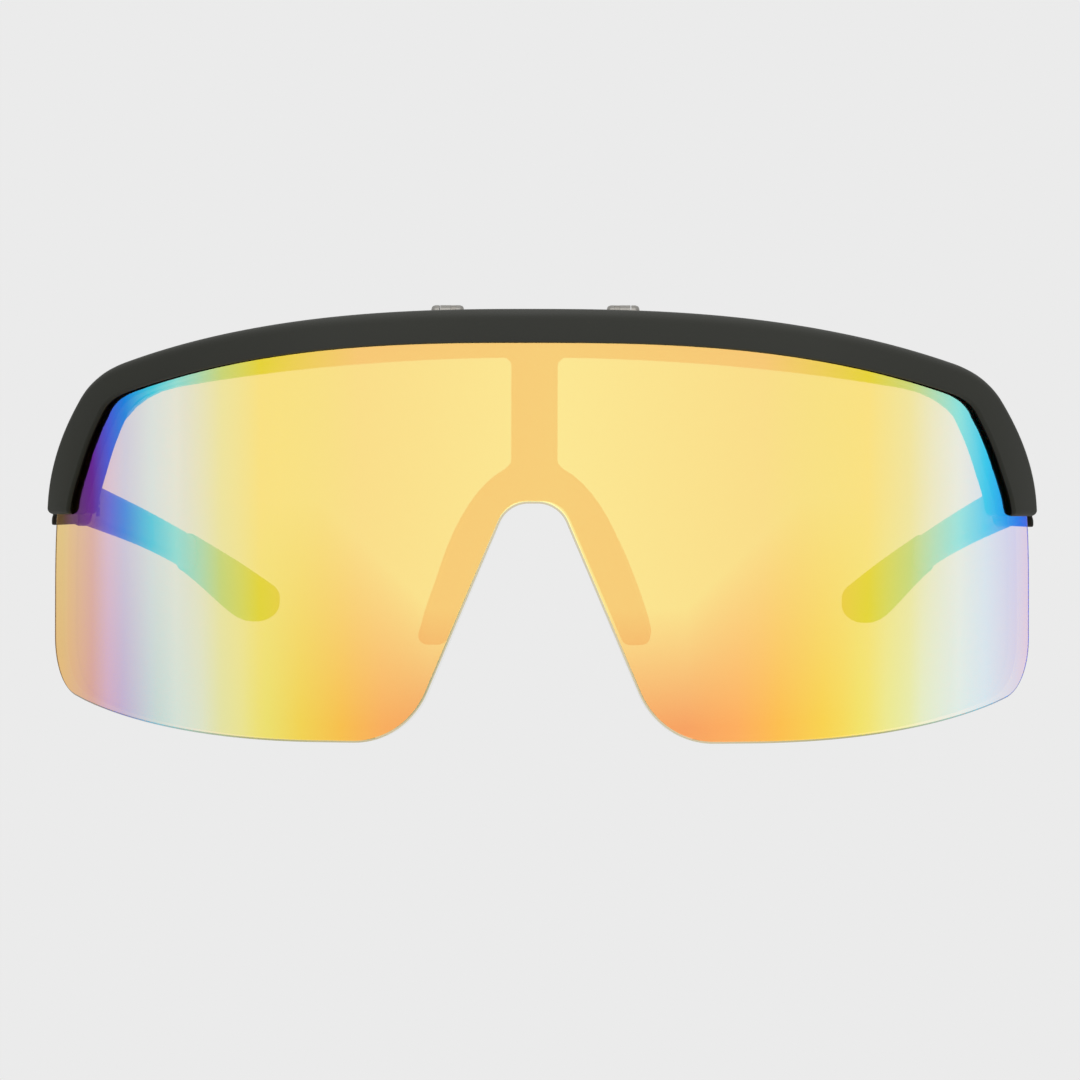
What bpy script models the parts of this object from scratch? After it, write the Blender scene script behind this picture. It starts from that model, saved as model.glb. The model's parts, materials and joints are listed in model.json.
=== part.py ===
"""Flip-up shield sunglasses.

An inner frame carries the nose pads and the temples. A brow bar with one wrapped lens
hangs in front of it on two small hinges and flips up.

The pieces are drawn in the frame of the lens: X to the right seen from the front,
Y back from the lens, Z up from the top of the brow. The whole is then pitched to stand
on the lens and the temple tips. Left is the side at -X.
"""
import math

import bmesh
import bpy
from mathutils import Matrix, Vector

# Fits and facets
FIT_GAP = 0.0003
FRONT_GAP = 0.0004
WRAP_STEP = math.radians(2.5)
ROUND_SIDES = 16

# Lens, wrapped on a cylinder as far as the brow's foot at the wrap angle
WRAP_ANGLE = math.radians(59.87)
LENS_THICKNESS = 0.0020
LENS_DROP = 0.0619
LENS_FLARE = 0.0007
LENS_FLARE_DROP = 0.0110
LENS_FLAT_END = 0.0320
LENS_SWEEP_RADIUS = 0.205
LENS_CORNER_RADIUS = 0.0090
NOTCH_DROP = 0.0277
NOTCH_HALF = 0.0036
NOTCH_SLOPE = math.radians(66.7)
NOTCH_TOP_RADIUS = 0.0045
NOTCH_FOOT_RADIUS = 0.0120

# Brow bar, its edge as seen from the front
HALF_WIDTH = 0.0736
SHOULDER_INSET = 0.0130
CROWN_DROP = 0.0070
CROWN_POWER = 2.65
ELBOW_INSET = 0.0057
ELBOW_DROP = 0.0122
ELBOW_ANGLE = math.radians(56.5)
LEG_DROP = 0.0292
FACE_CENTRE = 0.00485
FACE_CROWN = 0.00440
FACE_LEG = 0.00510
FACE_FOOT = 0.00450
BROW_PROUD = 0.0011
BROW_ROUND = 0.0016
BROW_LIP_ROUND = 0.0005
BROW_WALL = 0.0018
BROW_BACK_WALL = 0.0019

# Inner frame, as seen from the front
BAND_THICKNESS = 0.0030
BAND_TOP_DROP = 0.0032
BAND_SETBACK = 0.0022
BAND_DROP = 0.00675
BAND_SAG_RADIUS = 0.370
BAND_ELBOW_INSET = 0.0206
BAND_LEG_INSET = 0.0084
BAND_LEG_DROP = 0.0226
BAND_LEG_SLOPE = math.radians(76)
BAND_FOOT_ROUND = 0.0010
STEM_HALF = 0.0033
STEM_FILLET = 0.0008
ARM_TOP_X = 0.0040
ARM_TOP_DROP = 0.0226
ARM_TOP_SLOPE = math.radians(28)
ARM_KNEE_X = 0.0136
ARM_KNEE_DROP = 0.0370
ARM_SLOPE = math.radians(72)
ARM_DROP = 0.0479
ARM_FOOT_RADIUS = 0.0013
NOSE_REVEAL = 0.0004

# End pieces and temple hinges
END_OUTER_INSET = 0.0004
END_THICKNESS = 0.0041
END_DROP = 0.0309
END_REVEAL = 0.0006
END_TOP_REACH = 0.0012
END_TOP_DROP = 0.0150
BAND_TRIM_SHARE = 0.9
BUTT_REACH = 0.0132
BUTT_TOP_DROP = 0.0233
BUTT_BOTTOM_DROP = 0.0298
TEMPLE_KNUCKLE_RADIUS = 0.00125
TEMPLE_PIVOT_INSET = 0.0009
OUTER_KNUCKLE_HEIGHT = 0.0014
MIDDLE_KNUCKLE_HEIGHT = 0.0024
LEAF_THICKNESS = 0.0007
LEAF_LENGTH = 0.0030
LEAF_SCREW_SHARE = 0.55
TEMPLE_SCREW_RADIUS = 0.00055
TEMPLE_SCREW_HEAD = 0.00095
SMALL_SCREW_RADIUS = 0.00045
SMALL_HEAD_RADIUS = 0.00085
SMALL_HEAD_HEIGHT = 0.00045
SMALL_SCREW_LENGTH = 0.0024
SLOT_REACH_SHARE = 0.62
SLOT_HALF_SHARE = 0.14
HOLE_GAP = 0.00015

# Temples
TEMPLE_LENGTH = 0.1050
TEMPLE_FALL = 0.0180
TEMPLE_BOW = 0.45
TEMPLE_TOE_IN = 0.0226
TEMPLE_TOE_POWER = 1.25
WAIST_PLACE = 0.55
WAIST_HEIGHT = 0.0054
TIP_PLACE = 0.95
TIP_HEIGHT = 0.0078
TIP_TOP_ROUND = 0.0040
TIP_HEEL_ROUND = 0.0160
TIP_END_DROP = 0.0012
TIP_THINNING = 0.7
SECTION_ROUND = 0.42
ARM_THICKNESS = 0.0030
TIP_THICKNESS = 0.0042
SLEEVE_LENGTH = 0.0420
SLEEVE_STEP = 0.0003
CORE_LENGTH = 0.0300
CORE_HEIGHT = 0.0040
CORE_THICKNESS = 0.0018

# Flip hinges
FLIP_X = 0.0126
FLIP_AXIS_SETBACK = 0.0020
FLIP_AXIS_DROP = 0.00065
FLIP_KNUCKLE_RADIUS = 0.0015
FLIP_EAR_WIDTH = 0.0011
FLIP_MIDDLE_WIDTH = 0.0015
FLIP_SIDE_GAP = 0.0002
WASHER_THICKNESS = 0.0004
FLIP_PIN_RADIUS = 0.0006
FLIP_LEAF_THICKNESS = 0.0007
FLIP_LEAF_WIDTH = 0.0070
FLIP_LEAF_TOP_DROP = 0.0007
FLIP_LEAF_BOTTOM_DROP = 0.0029
PEG_RADIUS = 0.00045
PEG_LENGTH = 0.0012
PEG_SPACING = 0.0044
BRACKET_THICKNESS = 0.0008
BRACKET_WIDTH = 0.0088
BRACKET_TOP_DROP = 0.0034
BRACKET_BOTTOM_DROP = 0.0068
BRACKET_SCREW_SPACING = 0.0058
WASHER_SHARE = 0.9

# Nose pads
PAD_TOP_DROP = 0.0305
PAD_BOTTOM_DROP = 0.0468
PAD_DEPTH = 0.0070
PAD_THICKNESS = 0.0030
PAD_FLARE = math.radians(20)
PAD_END_SHARE = 0.08
PAD_FULLNESS = 0.45
POST_LENGTH = 0.0018
POST_SIZE = 0.0016
POST_DROP = 0.0395

# What follows from the sizes above
WRAP_RADIUS = HALF_WIDTH / math.sin(WRAP_ANGLE) - BROW_PROUD
WRAP_DEPTH = WRAP_RADIUS * (1 - math.cos(WRAP_ANGLE))
BROW_BACK = LENS_THICKNESS + FIT_GAP + BROW_BACK_WALL
BAND_FRONT = BROW_BACK + FRONT_GAP
BAND_BACK = BAND_FRONT + BAND_THICKNESS
BAND_ELBOW_X = HALF_WIDTH - BAND_ELBOW_INSET
BAND_LEG_X = HALF_WIDTH - BAND_LEG_INSET
FLIP_AXIS_Y = BAND_BACK + FLIP_AXIS_SETBACK
END_OUTER_X = HALF_WIDTH - END_OUTER_INSET
END_TOP_Y = WRAP_DEPTH + END_TOP_REACH
BUTT_Y = WRAP_DEPTH + BUTT_REACH
ROOT_HEIGHT = BUTT_BOTTOM_DROP - BUTT_TOP_DROP
TEMPLE_PIVOT_DROP = (BUTT_TOP_DROP + BUTT_BOTTOM_DROP) / 2
END_INNER_X = END_OUTER_X - END_THICKNESS
PIVOT_X = END_INNER_X - TEMPLE_PIVOT_INSET
PIVOT_Y = BUTT_Y + FIT_GAP / 2
ROOT_Y = BUTT_Y + FIT_GAP
FLIP_WIDTH = 2 * FLIP_EAR_WIDTH + FLIP_MIDDLE_WIDTH + WASHER_THICKNESS + 3 * FLIP_SIDE_GAP
SIDES = (("left", -1), ("right", 1))


def clear_scene():
    for thing in list(bpy.data.objects):
        bpy.data.objects.remove(thing)


def material(name, colour, roughness, metallic=0.0, alpha=1.0):
    made = bpy.data.materials.new(name)
    made.use_nodes = True
    shader = made.node_tree.nodes["Principled BSDF"]
    shader.inputs["Base Color"].default_value = (*colour, 1.0)
    shader.inputs["Roughness"].default_value = roughness
    shader.inputs["Metallic"].default_value = metallic
    shader.inputs["Alpha"].default_value = alpha
    made.diffuse_color = (*colour, alpha)
    return made


def empty(name, place, parent=None):
    """A joint's axis or the whole's stand, placed in the lens's frame."""
    made = bpy.data.objects.new(name, None)
    bpy.context.collection.objects.link(made)
    made["anchor"] = place
    made.location = Vector(place) - (Vector(parent["anchor"]) if parent else Vector())
    made.parent = parent
    return made


def add(name, bm, parent, finish=None):
    """An object from a mesh drawn in the lens's frame, with its origin at its parent."""
    bmesh.ops.recalc_face_normals(bm, faces=bm.faces)
    mesh = bpy.data.meshes.new(name)
    bm.to_mesh(mesh)
    bm.free()
    mesh.transform(Matrix.Translation(-Vector(parent["anchor"])))
    made = bpy.data.objects.new(name, mesh)
    bpy.context.collection.objects.link(made)
    made.parent = parent
    if finish:
        mesh.materials.append(finish)
        mesh.shade_smooth()
        mesh.set_sharp_from_angle(angle=math.radians(35))
    return made


def combine(target, bm, operation, name):
    """Joins a shape to a piece, cuts it away or keeps what they share."""
    tool = add(f"{target.name}_{name}", bm, target.parent)
    tool.hide_render = True
    tool.display_type = "WIRE"
    step = target.modifiers.new(name, "BOOLEAN")
    step.operation = operation
    step.object = tool
    step.solver = "EXACT"
    return tool


def prism(outline, lift):
    """A closed solid from a flat outline of points, drawn out by a vector."""
    bm = bmesh.new()
    low = [bm.verts.new(point) for point in outline]
    high = [bm.verts.new(Vector(point) + Vector(lift)) for point in outline]
    bm.faces.new(low)
    bm.faces.new(high)
    for i in range(len(low)):
        j = (i + 1) % len(low)
        bm.faces.new((low[i], low[j], high[j], high[i]))
    return bm


def loft(rings):
    """A closed solid skinned over rings of as many points each."""
    bm = bmesh.new()
    rows = [[bm.verts.new(point) for point in ring] for ring in rings]
    for row, following in zip(rows, rows[1:]):
        for i in range(len(row)):
            j = (i + 1) % len(row)
            bm.faces.new((row[i], row[j], following[j], following[i]))
    bm.faces.new(rows[0])
    bm.faces.new(rows[-1])
    return bm


def rod(start, end, radius, sides=ROUND_SIDES):
    """A round bar from one point to another."""
    start, end = Vector(start), Vector(end)
    turn = (end - start).to_track_quat("Z", "X")
    ring = [
        turn @ Vector((radius * math.cos(a), radius * math.sin(a), 0))
        for a in (2 * math.pi * i / sides for i in range(sides))
    ]
    return loft([[start + p for p in ring], [end + p for p in ring]])


def box(low, high, turn=0.0, centre=(0, 0, 0)):
    """A box between two corners, turned about an upright line through a centre."""
    outline = [(low[0], low[1]), (high[0], low[1]), (high[0], high[1]), (low[0], high[1])]
    spin = Matrix.Translation(centre) @ Matrix.Rotation(turn, 4, "Z")
    return prism([spin @ Vector((x, y, low[2])) for x, y in outline], (0, 0, high[2] - low[2]))


def rounded(corners, steps=5):
    """An outline from (x, z, radius) corners: a corner with a radius becomes an arc."""
    outline = []
    for i, (x, z, radius) in enumerate(corners):
        corner = Vector((x, z))
        if not radius:
            outline.append(corner)
            continue
        back = (Vector(corners[i - 1][:2]) - corner).normalized()
        ahead = (Vector(corners[(i + 1) % len(corners)][:2]) - corner).normalized()
        half = back.angle(ahead) / 2
        centre = corner + (back + ahead).normalized() * radius / math.sin(half)
        start = corner + back * radius / math.tan(half) - centre
        sweep = start.angle_signed(corner + ahead * radius / math.tan(half) - centre)
        for step in range(steps + 1):
            arm = start.copy()
            arm.rotate(Matrix.Rotation(-sweep * step / steps, 2))
            outline.append(centre + arm)
    return outline


def meet(start, angle, other, other_angle):
    """Where two lines cross, each through a point and falling at an angle."""
    a = Vector((math.cos(angle), -math.sin(angle)))
    b = Vector((math.cos(other_angle), -math.sin(other_angle)))
    gap = Vector(other) - Vector(start)
    reach = (gap.x * b.y - gap.y * b.x) / (a.x * b.y - a.y * b.x)
    return Vector(start) + a * reach


def curve(start, control, end, steps):
    """A quadratic curve's points after its start."""
    start, control, end = Vector(start), Vector(control), Vector(end)
    found = []
    for step in range(1, steps + 1):
        t = step / steps
        found.append(start * (1 - t) ** 2 + control * 2 * t * (1 - t) + end * t * t)
    return found


def eased(stations, t):
    """A smooth value at t, between the (t, value) stations on either side of it."""
    for (t0, v0), (t1, v1) in zip(stations, stations[1:]):
        if t <= t1:
            share = (t - t0) / (t1 - t0)
            return v0 + (v1 - v0) * share * share * (3 - 2 * share)
    return stations[-1][1]


def on_wrap(u, depth, z):
    """The point this far along the lens's front face, behind it and up."""
    angle = u / WRAP_RADIUS
    radius = WRAP_RADIUS - depth
    return Vector((radius * math.sin(angle), WRAP_RADIUS - radius * math.cos(angle), z))


def wrap_y(x, depth):
    """How far back the surface at this depth behind the lens's face lies, at x."""
    return WRAP_RADIUS - math.sqrt((WRAP_RADIUS - depth) ** 2 - x * x)


def sliced(bm, places):
    """The mesh cut into upright strips, in triangles, ready to be bent."""
    for place in places:
        everything = bm.verts[:] + bm.edges[:] + bm.faces[:]
        bmesh.ops.bisect_plane(bm, geom=everything, plane_co=(place, 0, 0), plane_no=(1, 0, 0))
    bmesh.ops.remove_doubles(bm, verts=bm.verts[:], dist=FIT_GAP / 30)
    bmesh.ops.triangulate(bm, faces=bm.faces[:])
    return bm


def mirrored(half):
    """A closed outline from its right half, which starts and ends on the middle line."""
    left = [Vector((-p.x, p.y)) for p in reversed(half[1:-1])]
    return half + left


def brow_edge():
    """The brow's outer edge from the front, from its centre to its right foot."""
    shoulder_x = HALF_WIDTH - SHOULDER_INSET
    crown_steps = 15
    edge = [
        Vector((shoulder_x * i / crown_steps, -CROWN_DROP * (i / crown_steps) ** CROWN_POWER))
        for i in range(crown_steps + 1)
    ]
    slope = math.atan(CROWN_POWER * CROWN_DROP / shoulder_x)
    elbow = Vector((HALF_WIDTH - ELBOW_INSET, -ELBOW_DROP))
    corner = meet(edge[-1], slope, elbow, ELBOW_ANGLE)
    bend = meet(elbow, ELBOW_ANGLE, (HALF_WIDTH, 0), math.pi / 2)
    foot = Vector((HALF_WIDTH, -LEG_DROP))
    return edge + curve(edge[-1], corner, elbow, 6) + curve(elbow, bend, foot, 8)


def inward(edge):
    """The direction into the brow at each point of its edge, square to it."""
    found = []
    for i, _ in enumerate(edge):
        run = edge[min(i + 1, len(edge) - 1)] - edge[max(i - 1, 0)]
        found.append(Vector((run.y, -run.x)).normalized())
    found[0] = Vector((0, -1))
    found[-1] = Vector((-1, 0))
    return found


def brow_stations():
    """Pairs of points along the brow, outer and inner, on the unrolled lens face."""
    edge = brow_edge()
    front = WRAP_RADIUS + BROW_PROUD
    faces = ((0, FACE_CENTRE), (0.6, FACE_CROWN), (0.86, FACE_LEG), (1, FACE_FOOT))
    stations = []
    for i, (point, into) in enumerate(zip(edge, inward(edge))):
        sunk = point + into * BROW_ROUND
        u = WRAP_RADIUS * math.asin(sunk.x / (front - BROW_ROUND))
        outer = Vector((u - into.x * BROW_ROUND, point.y))
        inner = point + into * eased(faces, i / (len(edge) - 1))
        stations.append((outer, Vector((WRAP_RADIUS * math.asin(inner.x / WRAP_RADIUS), inner.y))))
    return stations


def groove_line():
    """The lens's edge inside the brow's groove, on its unrolled face."""
    inset = BROW_WALL + FIT_GAP
    return [outer + (inner - outer).normalized() * inset for outer, inner in brow_stations()]


def brow_section(width):
    """The brow's cross-section as (across, depth), across from its outer edge."""
    groove = (-FIT_GAP, LENS_THICKNESS + FIT_GAP)
    corners = [
        (width, groove[0], 0),
        (width, -BROW_PROUD, BROW_LIP_ROUND),
        (0, -BROW_PROUD, BROW_ROUND),
        (0, BROW_BACK, BROW_LIP_ROUND),
        (width, BROW_BACK, 0),
        (width, groove[1], 0),
        (BROW_WALL, groove[1], 0),
        (BROW_WALL, groove[0], 0),
    ]
    return rounded(corners, steps=3)


def make_brow(parent, finish):
    rings = []
    for outer, inner in brow_stations():
        width = (inner - outer).length
        across = (inner - outer).normalized()
        places = [(outer + across * a, depth) for a, depth in brow_section(width)]
        rings.append([on_wrap(place.x, depth, place.y) for place, depth in places])
    left = [[Vector((-p.x, p.y, p.z)) for p in ring] for ring in reversed(rings[1:])]
    brow = add("brow_bar", loft(left + rings), parent, finish)
    for side_name, side in SIDES:
        for number, x in enumerate(peg_places(side)):
            y = wrap_y(x, BROW_BACK)
            z = -(FLIP_LEAF_TOP_DROP + FLIP_LEAF_BOTTOM_DROP) / 2
            reach = PEG_LENGTH + FIT_GAP
            hole = rod((x, y + PEG_LENGTH, z), (x, y - reach, z), PEG_RADIUS + HOLE_GAP, 12)
            combine(brow, hole, "DIFFERENCE", f"peg_hole_{side_name}_{number}")
    return brow


def lens_outline():
    """The lens on its unrolled face: the edge in the groove, the sides, foot and notch."""
    top = groove_line()
    side = top[-1].x + LENS_FLARE
    flare = curve(top[-1], (side, top[-1].y - LENS_FLARE_DROP / 3),
                  (side, top[-1].y - LENS_FLARE_DROP), 4)
    foot_x = NOTCH_HALF + (LENS_DROP - NOTCH_DROP) / math.tan(NOTCH_SLOPE)
    sweep_steps = 8
    sweep = []
    for step in range(sweep_steps + 1):
        u = side + (LENS_FLAT_END - side) * step / sweep_steps
        rise = (u - LENS_FLAT_END) ** 2 / (2 * LENS_SWEEP_RADIUS)
        sweep.append((u, rise - LENS_DROP))
    clear = [p for p in sweep[1:] if p[0] < side - LENS_CORNER_RADIUS]
    corners = [(flare[-1].x, flare[-1].y, 0), (*sweep[0], LENS_CORNER_RADIUS)]
    corners += [(*p, 0) for p in clear]
    corners += [
        (foot_x, -LENS_DROP, NOTCH_FOOT_RADIUS),
        (NOTCH_HALF, -NOTCH_DROP, NOTCH_TOP_RADIUS),
        (0, -NOTCH_DROP, 0),
    ]
    return mirrored(top + flare[:-1] + rounded(corners, steps=8))


def make_lens(parent, finish):
    outline = [(p.x, 0, p.y) for p in lens_outline()]
    widest = max(point[0] for point in outline)
    step = WRAP_RADIUS * WRAP_STEP
    count = int(widest / step)
    places = [step * i for i in range(-count, count + 1)]
    bm = sliced(prism(outline, (0, LENS_THICKNESS, 0)), places)
    for vert in bm.verts:
        vert.co = on_wrap(*vert.co)
    return add("shield_lens", bm, parent, finish)


def band_outline():
    """The inner frame from the front: band, stem, nose arms and the way to the end pieces."""
    edge = brow_edge()
    rim = [p + into * BAND_SETBACK for p, into in zip(edge, inward(edge))]
    seam_x = END_INNER_X + END_REVEAL
    top = [Vector((p.x, min(p.y, -BAND_TOP_DROP))) for p in rim if p.x < seam_x - END_REVEAL]
    elbow_z = -BAND_DROP - BAND_ELBOW_X ** 2 / (2 * BAND_SAG_RADIUS)
    elbow_slope = math.atan(BAND_ELBOW_X / BAND_SAG_RADIUS)
    leg = Vector((BAND_LEG_X, -BAND_LEG_DROP))
    corner = meet((BAND_ELBOW_X, elbow_z), elbow_slope, leg, BAND_LEG_SLOPE)
    down = Vector((math.cos(BAND_LEG_SLOPE), -math.sin(BAND_LEG_SLOPE)))
    foot = leg + down * (END_DROP - BAND_LEG_DROP) / math.sin(BAND_LEG_SLOPE)
    heel = foot + Vector((BAND_FOOT_ROUND, 0))
    outer = [Vector((seam_x, top[-1].y - END_REVEAL)), Vector((seam_x, foot.y)), heel]
    inner = curve(heel, foot, foot - down * BAND_FOOT_ROUND, 3)
    inner += list(reversed(curve((BAND_ELBOW_X, elbow_z), corner, leg, 7)))
    sag_steps = 9
    sag = []
    for step in range(sag_steps + 1):
        x = BAND_ELBOW_X + (STEM_HALF + STEM_FILLET - BAND_ELBOW_X) * step / sag_steps
        sag.append(Vector((x, -BAND_DROP - x * x / (2 * BAND_SAG_RADIUS))))
    return mirrored(top + outer + inner + sag + nose_outline())


def nose_outline():
    """The right half of the stem and nose arms, from the band round to the crotch."""
    arm_top = Vector((ARM_TOP_X, -ARM_TOP_DROP))
    knee = Vector((ARM_KNEE_X, -ARM_KNEE_DROP))
    shoulder = curve(arm_top, meet(arm_top, ARM_TOP_SLOPE, knee, ARM_SLOPE), knee, 8)
    crotch = -NOTCH_DROP + NOSE_REVEAL
    foot_outer = ARM_KNEE_X + (ARM_DROP - ARM_KNEE_DROP) / math.tan(ARM_SLOPE)
    inner_top = NOTCH_HALF + NOSE_REVEAL
    foot_inner = inner_top + (ARM_DROP + crotch) / math.tan(NOTCH_SLOPE)
    corners = [
        (STEM_HALF, -BAND_DROP - STEM_FILLET, 0),
        (STEM_HALF, arm_top.y + STEM_FILLET, 0),
        (*arm_top, 0),
    ]
    corners += [(*p, 0) for p in shoulder]
    corners += [
        (foot_outer, -ARM_DROP, ARM_FOOT_RADIUS),
        (foot_inner, -ARM_DROP, ARM_FOOT_RADIUS),
        (inner_top, crotch, NOTCH_TOP_RADIUS - NOSE_REVEAL),
        (0, crotch, 0),
    ]
    return rounded(corners)


def end_block(side):
    """The end piece: its outline from the front, kept behind the brow's edge, drawn back."""
    edge = brow_edge()
    rim = [p + into * END_REVEAL for p, into in zip(edge, inward(edge))]
    rim = [p for p in rim if END_INNER_X < p.x < END_OUTER_X]
    low = -max(END_DROP, BUTT_BOTTOM_DROP)
    base = [
        Vector((END_OUTER_X, rim[-1].y - END_REVEAL)),
        Vector((END_OUTER_X, low)),
        Vector((END_INNER_X, low)),
        Vector((END_INNER_X, rim[0].y)),
    ]
    front_y = wrap_y(END_INNER_X, BAND_FRONT) - 2 * BAND_THICKNESS
    outline = [(side * p.x, front_y, p.y) for p in rim + base]
    return prism(outline, (0, BUTT_Y - front_y, 0))


def end_plan(side):
    """The end piece from above: along the band's front, round the brow's leg, back to the butt."""
    wall, _ = brow_stations()[-1]
    angle = (wall.x + FRONT_GAP) / WRAP_RADIUS
    band = WRAP_RADIUS - BAND_FRONT
    reach = END_OUTER_X / math.sin(angle)
    plan = [
        (END_INNER_X, wrap_y(END_INNER_X, BAND_FRONT)),
        (band * math.sin(angle), WRAP_RADIUS - band * math.cos(angle)),
        (END_OUTER_X + FIT_GAP, WRAP_RADIUS - reach * math.cos(angle)),
        (END_OUTER_X + FIT_GAP, BUTT_Y + FIT_GAP),
        (END_INNER_X - FIT_GAP, BUTT_Y + FIT_GAP),
        (END_INNER_X - FIT_GAP, wrap_y(END_INNER_X, BAND_FRONT)),
    ]
    low = -max(END_DROP, BUTT_BOTTOM_DROP) - FIT_GAP
    return prism([(side * x, y, low) for x, y in plan], (0, 0, -low))


def end_crest():
    """The end piece's top from the side, falling from behind the brow's leg to the temple."""
    start = Vector((END_TOP_Y, -END_TOP_DROP))
    control = Vector((BUTT_Y - 2 * END_REVEAL, -BUTT_TOP_DROP))
    crest = curve(start, control, (BUTT_Y, -BUTT_TOP_DROP), 5)
    lead = start * (1 + BAND_TRIM_SHARE) - control * BAND_TRIM_SHARE
    return [tuple(p) for p in [lead, start] + crest]


def band_trim(side):
    """What stands above the end piece's crest and the line that leads to it, just clear of it."""
    profile = [(y, z + END_REVEAL / 4) for y, z in end_crest()]
    profile += [(BUTT_Y, 0), (profile[0][0], 0)]
    start = END_INNER_X - 2 * END_THICKNESS
    return prism([(side * start, y, z) for y, z in profile], (side * 4 * END_THICKNESS, 0, 0))


def end_profile(side):
    """The end piece from the side: it falls from behind the brow's leg to the temple."""
    front_y = wrap_y(END_INNER_X, BAND_FRONT) - 3 * BAND_THICKNESS
    profile = [(front_y, -END_TOP_DROP)] + end_crest()[1:]
    profile += [(2 * BUTT_Y - END_TOP_Y, -BUTT_TOP_DROP), (2 * BUTT_Y - END_TOP_Y, -BUTT_BOTTOM_DROP)]
    profile += [(BUTT_Y, -BUTT_BOTTOM_DROP), (END_TOP_Y, -END_DROP), (front_y, -END_DROP)]
    start = END_INNER_X - END_THICKNESS
    return prism([(side * start, y, z) for y, z in profile], (side * 3 * END_THICKNESS, 0, 0))


def knuckle_relief(side):
    """Room for the temple hinge's knuckles in the end piece or the temple."""
    low = -BUTT_BOTTOM_DROP - END_THICKNESS
    high = -BUTT_TOP_DROP + END_THICKNESS
    place = (side * PIVOT_X, PIVOT_Y)
    return rod((*place, low), (*place, high), TEMPLE_KNUCKLE_RADIUS + FIT_GAP)


def bracket_frame(side):
    """A flip bracket's centre on the band's back face, and how far it is turned there."""
    radius = WRAP_RADIUS - BAND_BACK
    turn = math.asin(side * FLIP_X / radius)
    return Vector((side * FLIP_X, wrap_y(FLIP_X, BAND_BACK), 0)), turn


def bracket_screw_lines(side):
    """Where a bracket's two screws enter the band, and the way they point, into it."""
    centre, turn = bracket_frame(side)
    along = Vector((math.cos(turn), math.sin(turn), 0))
    into = Vector((math.sin(turn), -math.cos(turn), 0))
    height = Vector((0, 0, -(BRACKET_TOP_DROP + BRACKET_BOTTOM_DROP) / 2))
    half = BRACKET_SCREW_SPACING / 2
    return [(centre + height + along * place, into) for place in (-half, half)]


def screw(name, seat, into, parent, finish, head_radius, radius, length):
    """A screw whose head sits on a seat point, with a cross slot in the head."""
    base = seat - into * FIT_GAP
    top = base - into * SMALL_HEAD_HEIGHT
    made = add(name, rod(base, top, head_radius), parent, finish)
    combine(made, rod(base - into * SMALL_HEAD_HEIGHT / 2, seat + into * length, radius, 12),
            "UNION", "shank")
    turn = into.to_track_quat("Z", "X")
    for number in range(2):
        wide = turn @ Vector((math.cos(number * math.pi / 2), math.sin(number * math.pi / 2), 0))
        thin = wide.cross(into) * head_radius * SLOT_HALF_SHARE
        reach = wide * head_radius * SLOT_REACH_SHARE
        outline = [top - into * head_radius + reach * a + thin * b
                   for a, b in ((-1, -1), (1, -1), (1, 1), (-1, 1))]
        depth = into * (head_radius + SMALL_HEAD_HEIGHT / 2)
        combine(made, prism(outline, depth), "DIFFERENCE", f"slot_{number}")
    return made


def arm_middle(drop):
    """The x of a nose arm's middle at this drop."""
    inner = NOTCH_HALF + NOSE_REVEAL + (drop - NOTCH_DROP) / math.tan(NOTCH_SLOPE)
    outer = ARM_KNEE_X + (drop - ARM_KNEE_DROP) / math.tan(ARM_SLOPE)
    return (inner + outer) / 2


def post_box(side, gap=0.0):
    """The post behind a nose arm that its pad is pressed over."""
    x = arm_middle(POST_DROP)
    half = POST_SIZE / 2 + gap
    y = wrap_y(x, BAND_BACK)
    low = (side * x - half, y - BAND_THICKNESS / 2, -POST_DROP - 2 * half)
    return box(low, (side * x + half, y + POST_LENGTH + gap, -POST_DROP + 2 * half))


def leaf_screw_lines(side):
    """Seats of the frame leaf's and the temple leaf's screws, on the faces they lie on."""
    into = Vector((side, 0, 0))
    reach = TEMPLE_KNUCKLE_RADIUS + LEAF_LENGTH * LEAF_SCREW_SHARE
    face_x = side * (END_INNER_X - FIT_GAP - LEAF_THICKNESS)
    front = Vector((face_x, PIVOT_Y - reach, -TEMPLE_PIVOT_DROP))
    back = Vector((face_x, PIVOT_Y + reach, -TEMPLE_PIVOT_DROP))
    return (front, into), (back, into)


def screw_hole(seat, into, length):
    """The hole that a small screw's shank runs in, from in front of its seat."""
    start = seat - into * SMALL_HEAD_RADIUS
    return rod(start, seat + into * (length + FIT_GAP), SMALL_SCREW_RADIUS + HOLE_GAP, 12)


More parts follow.
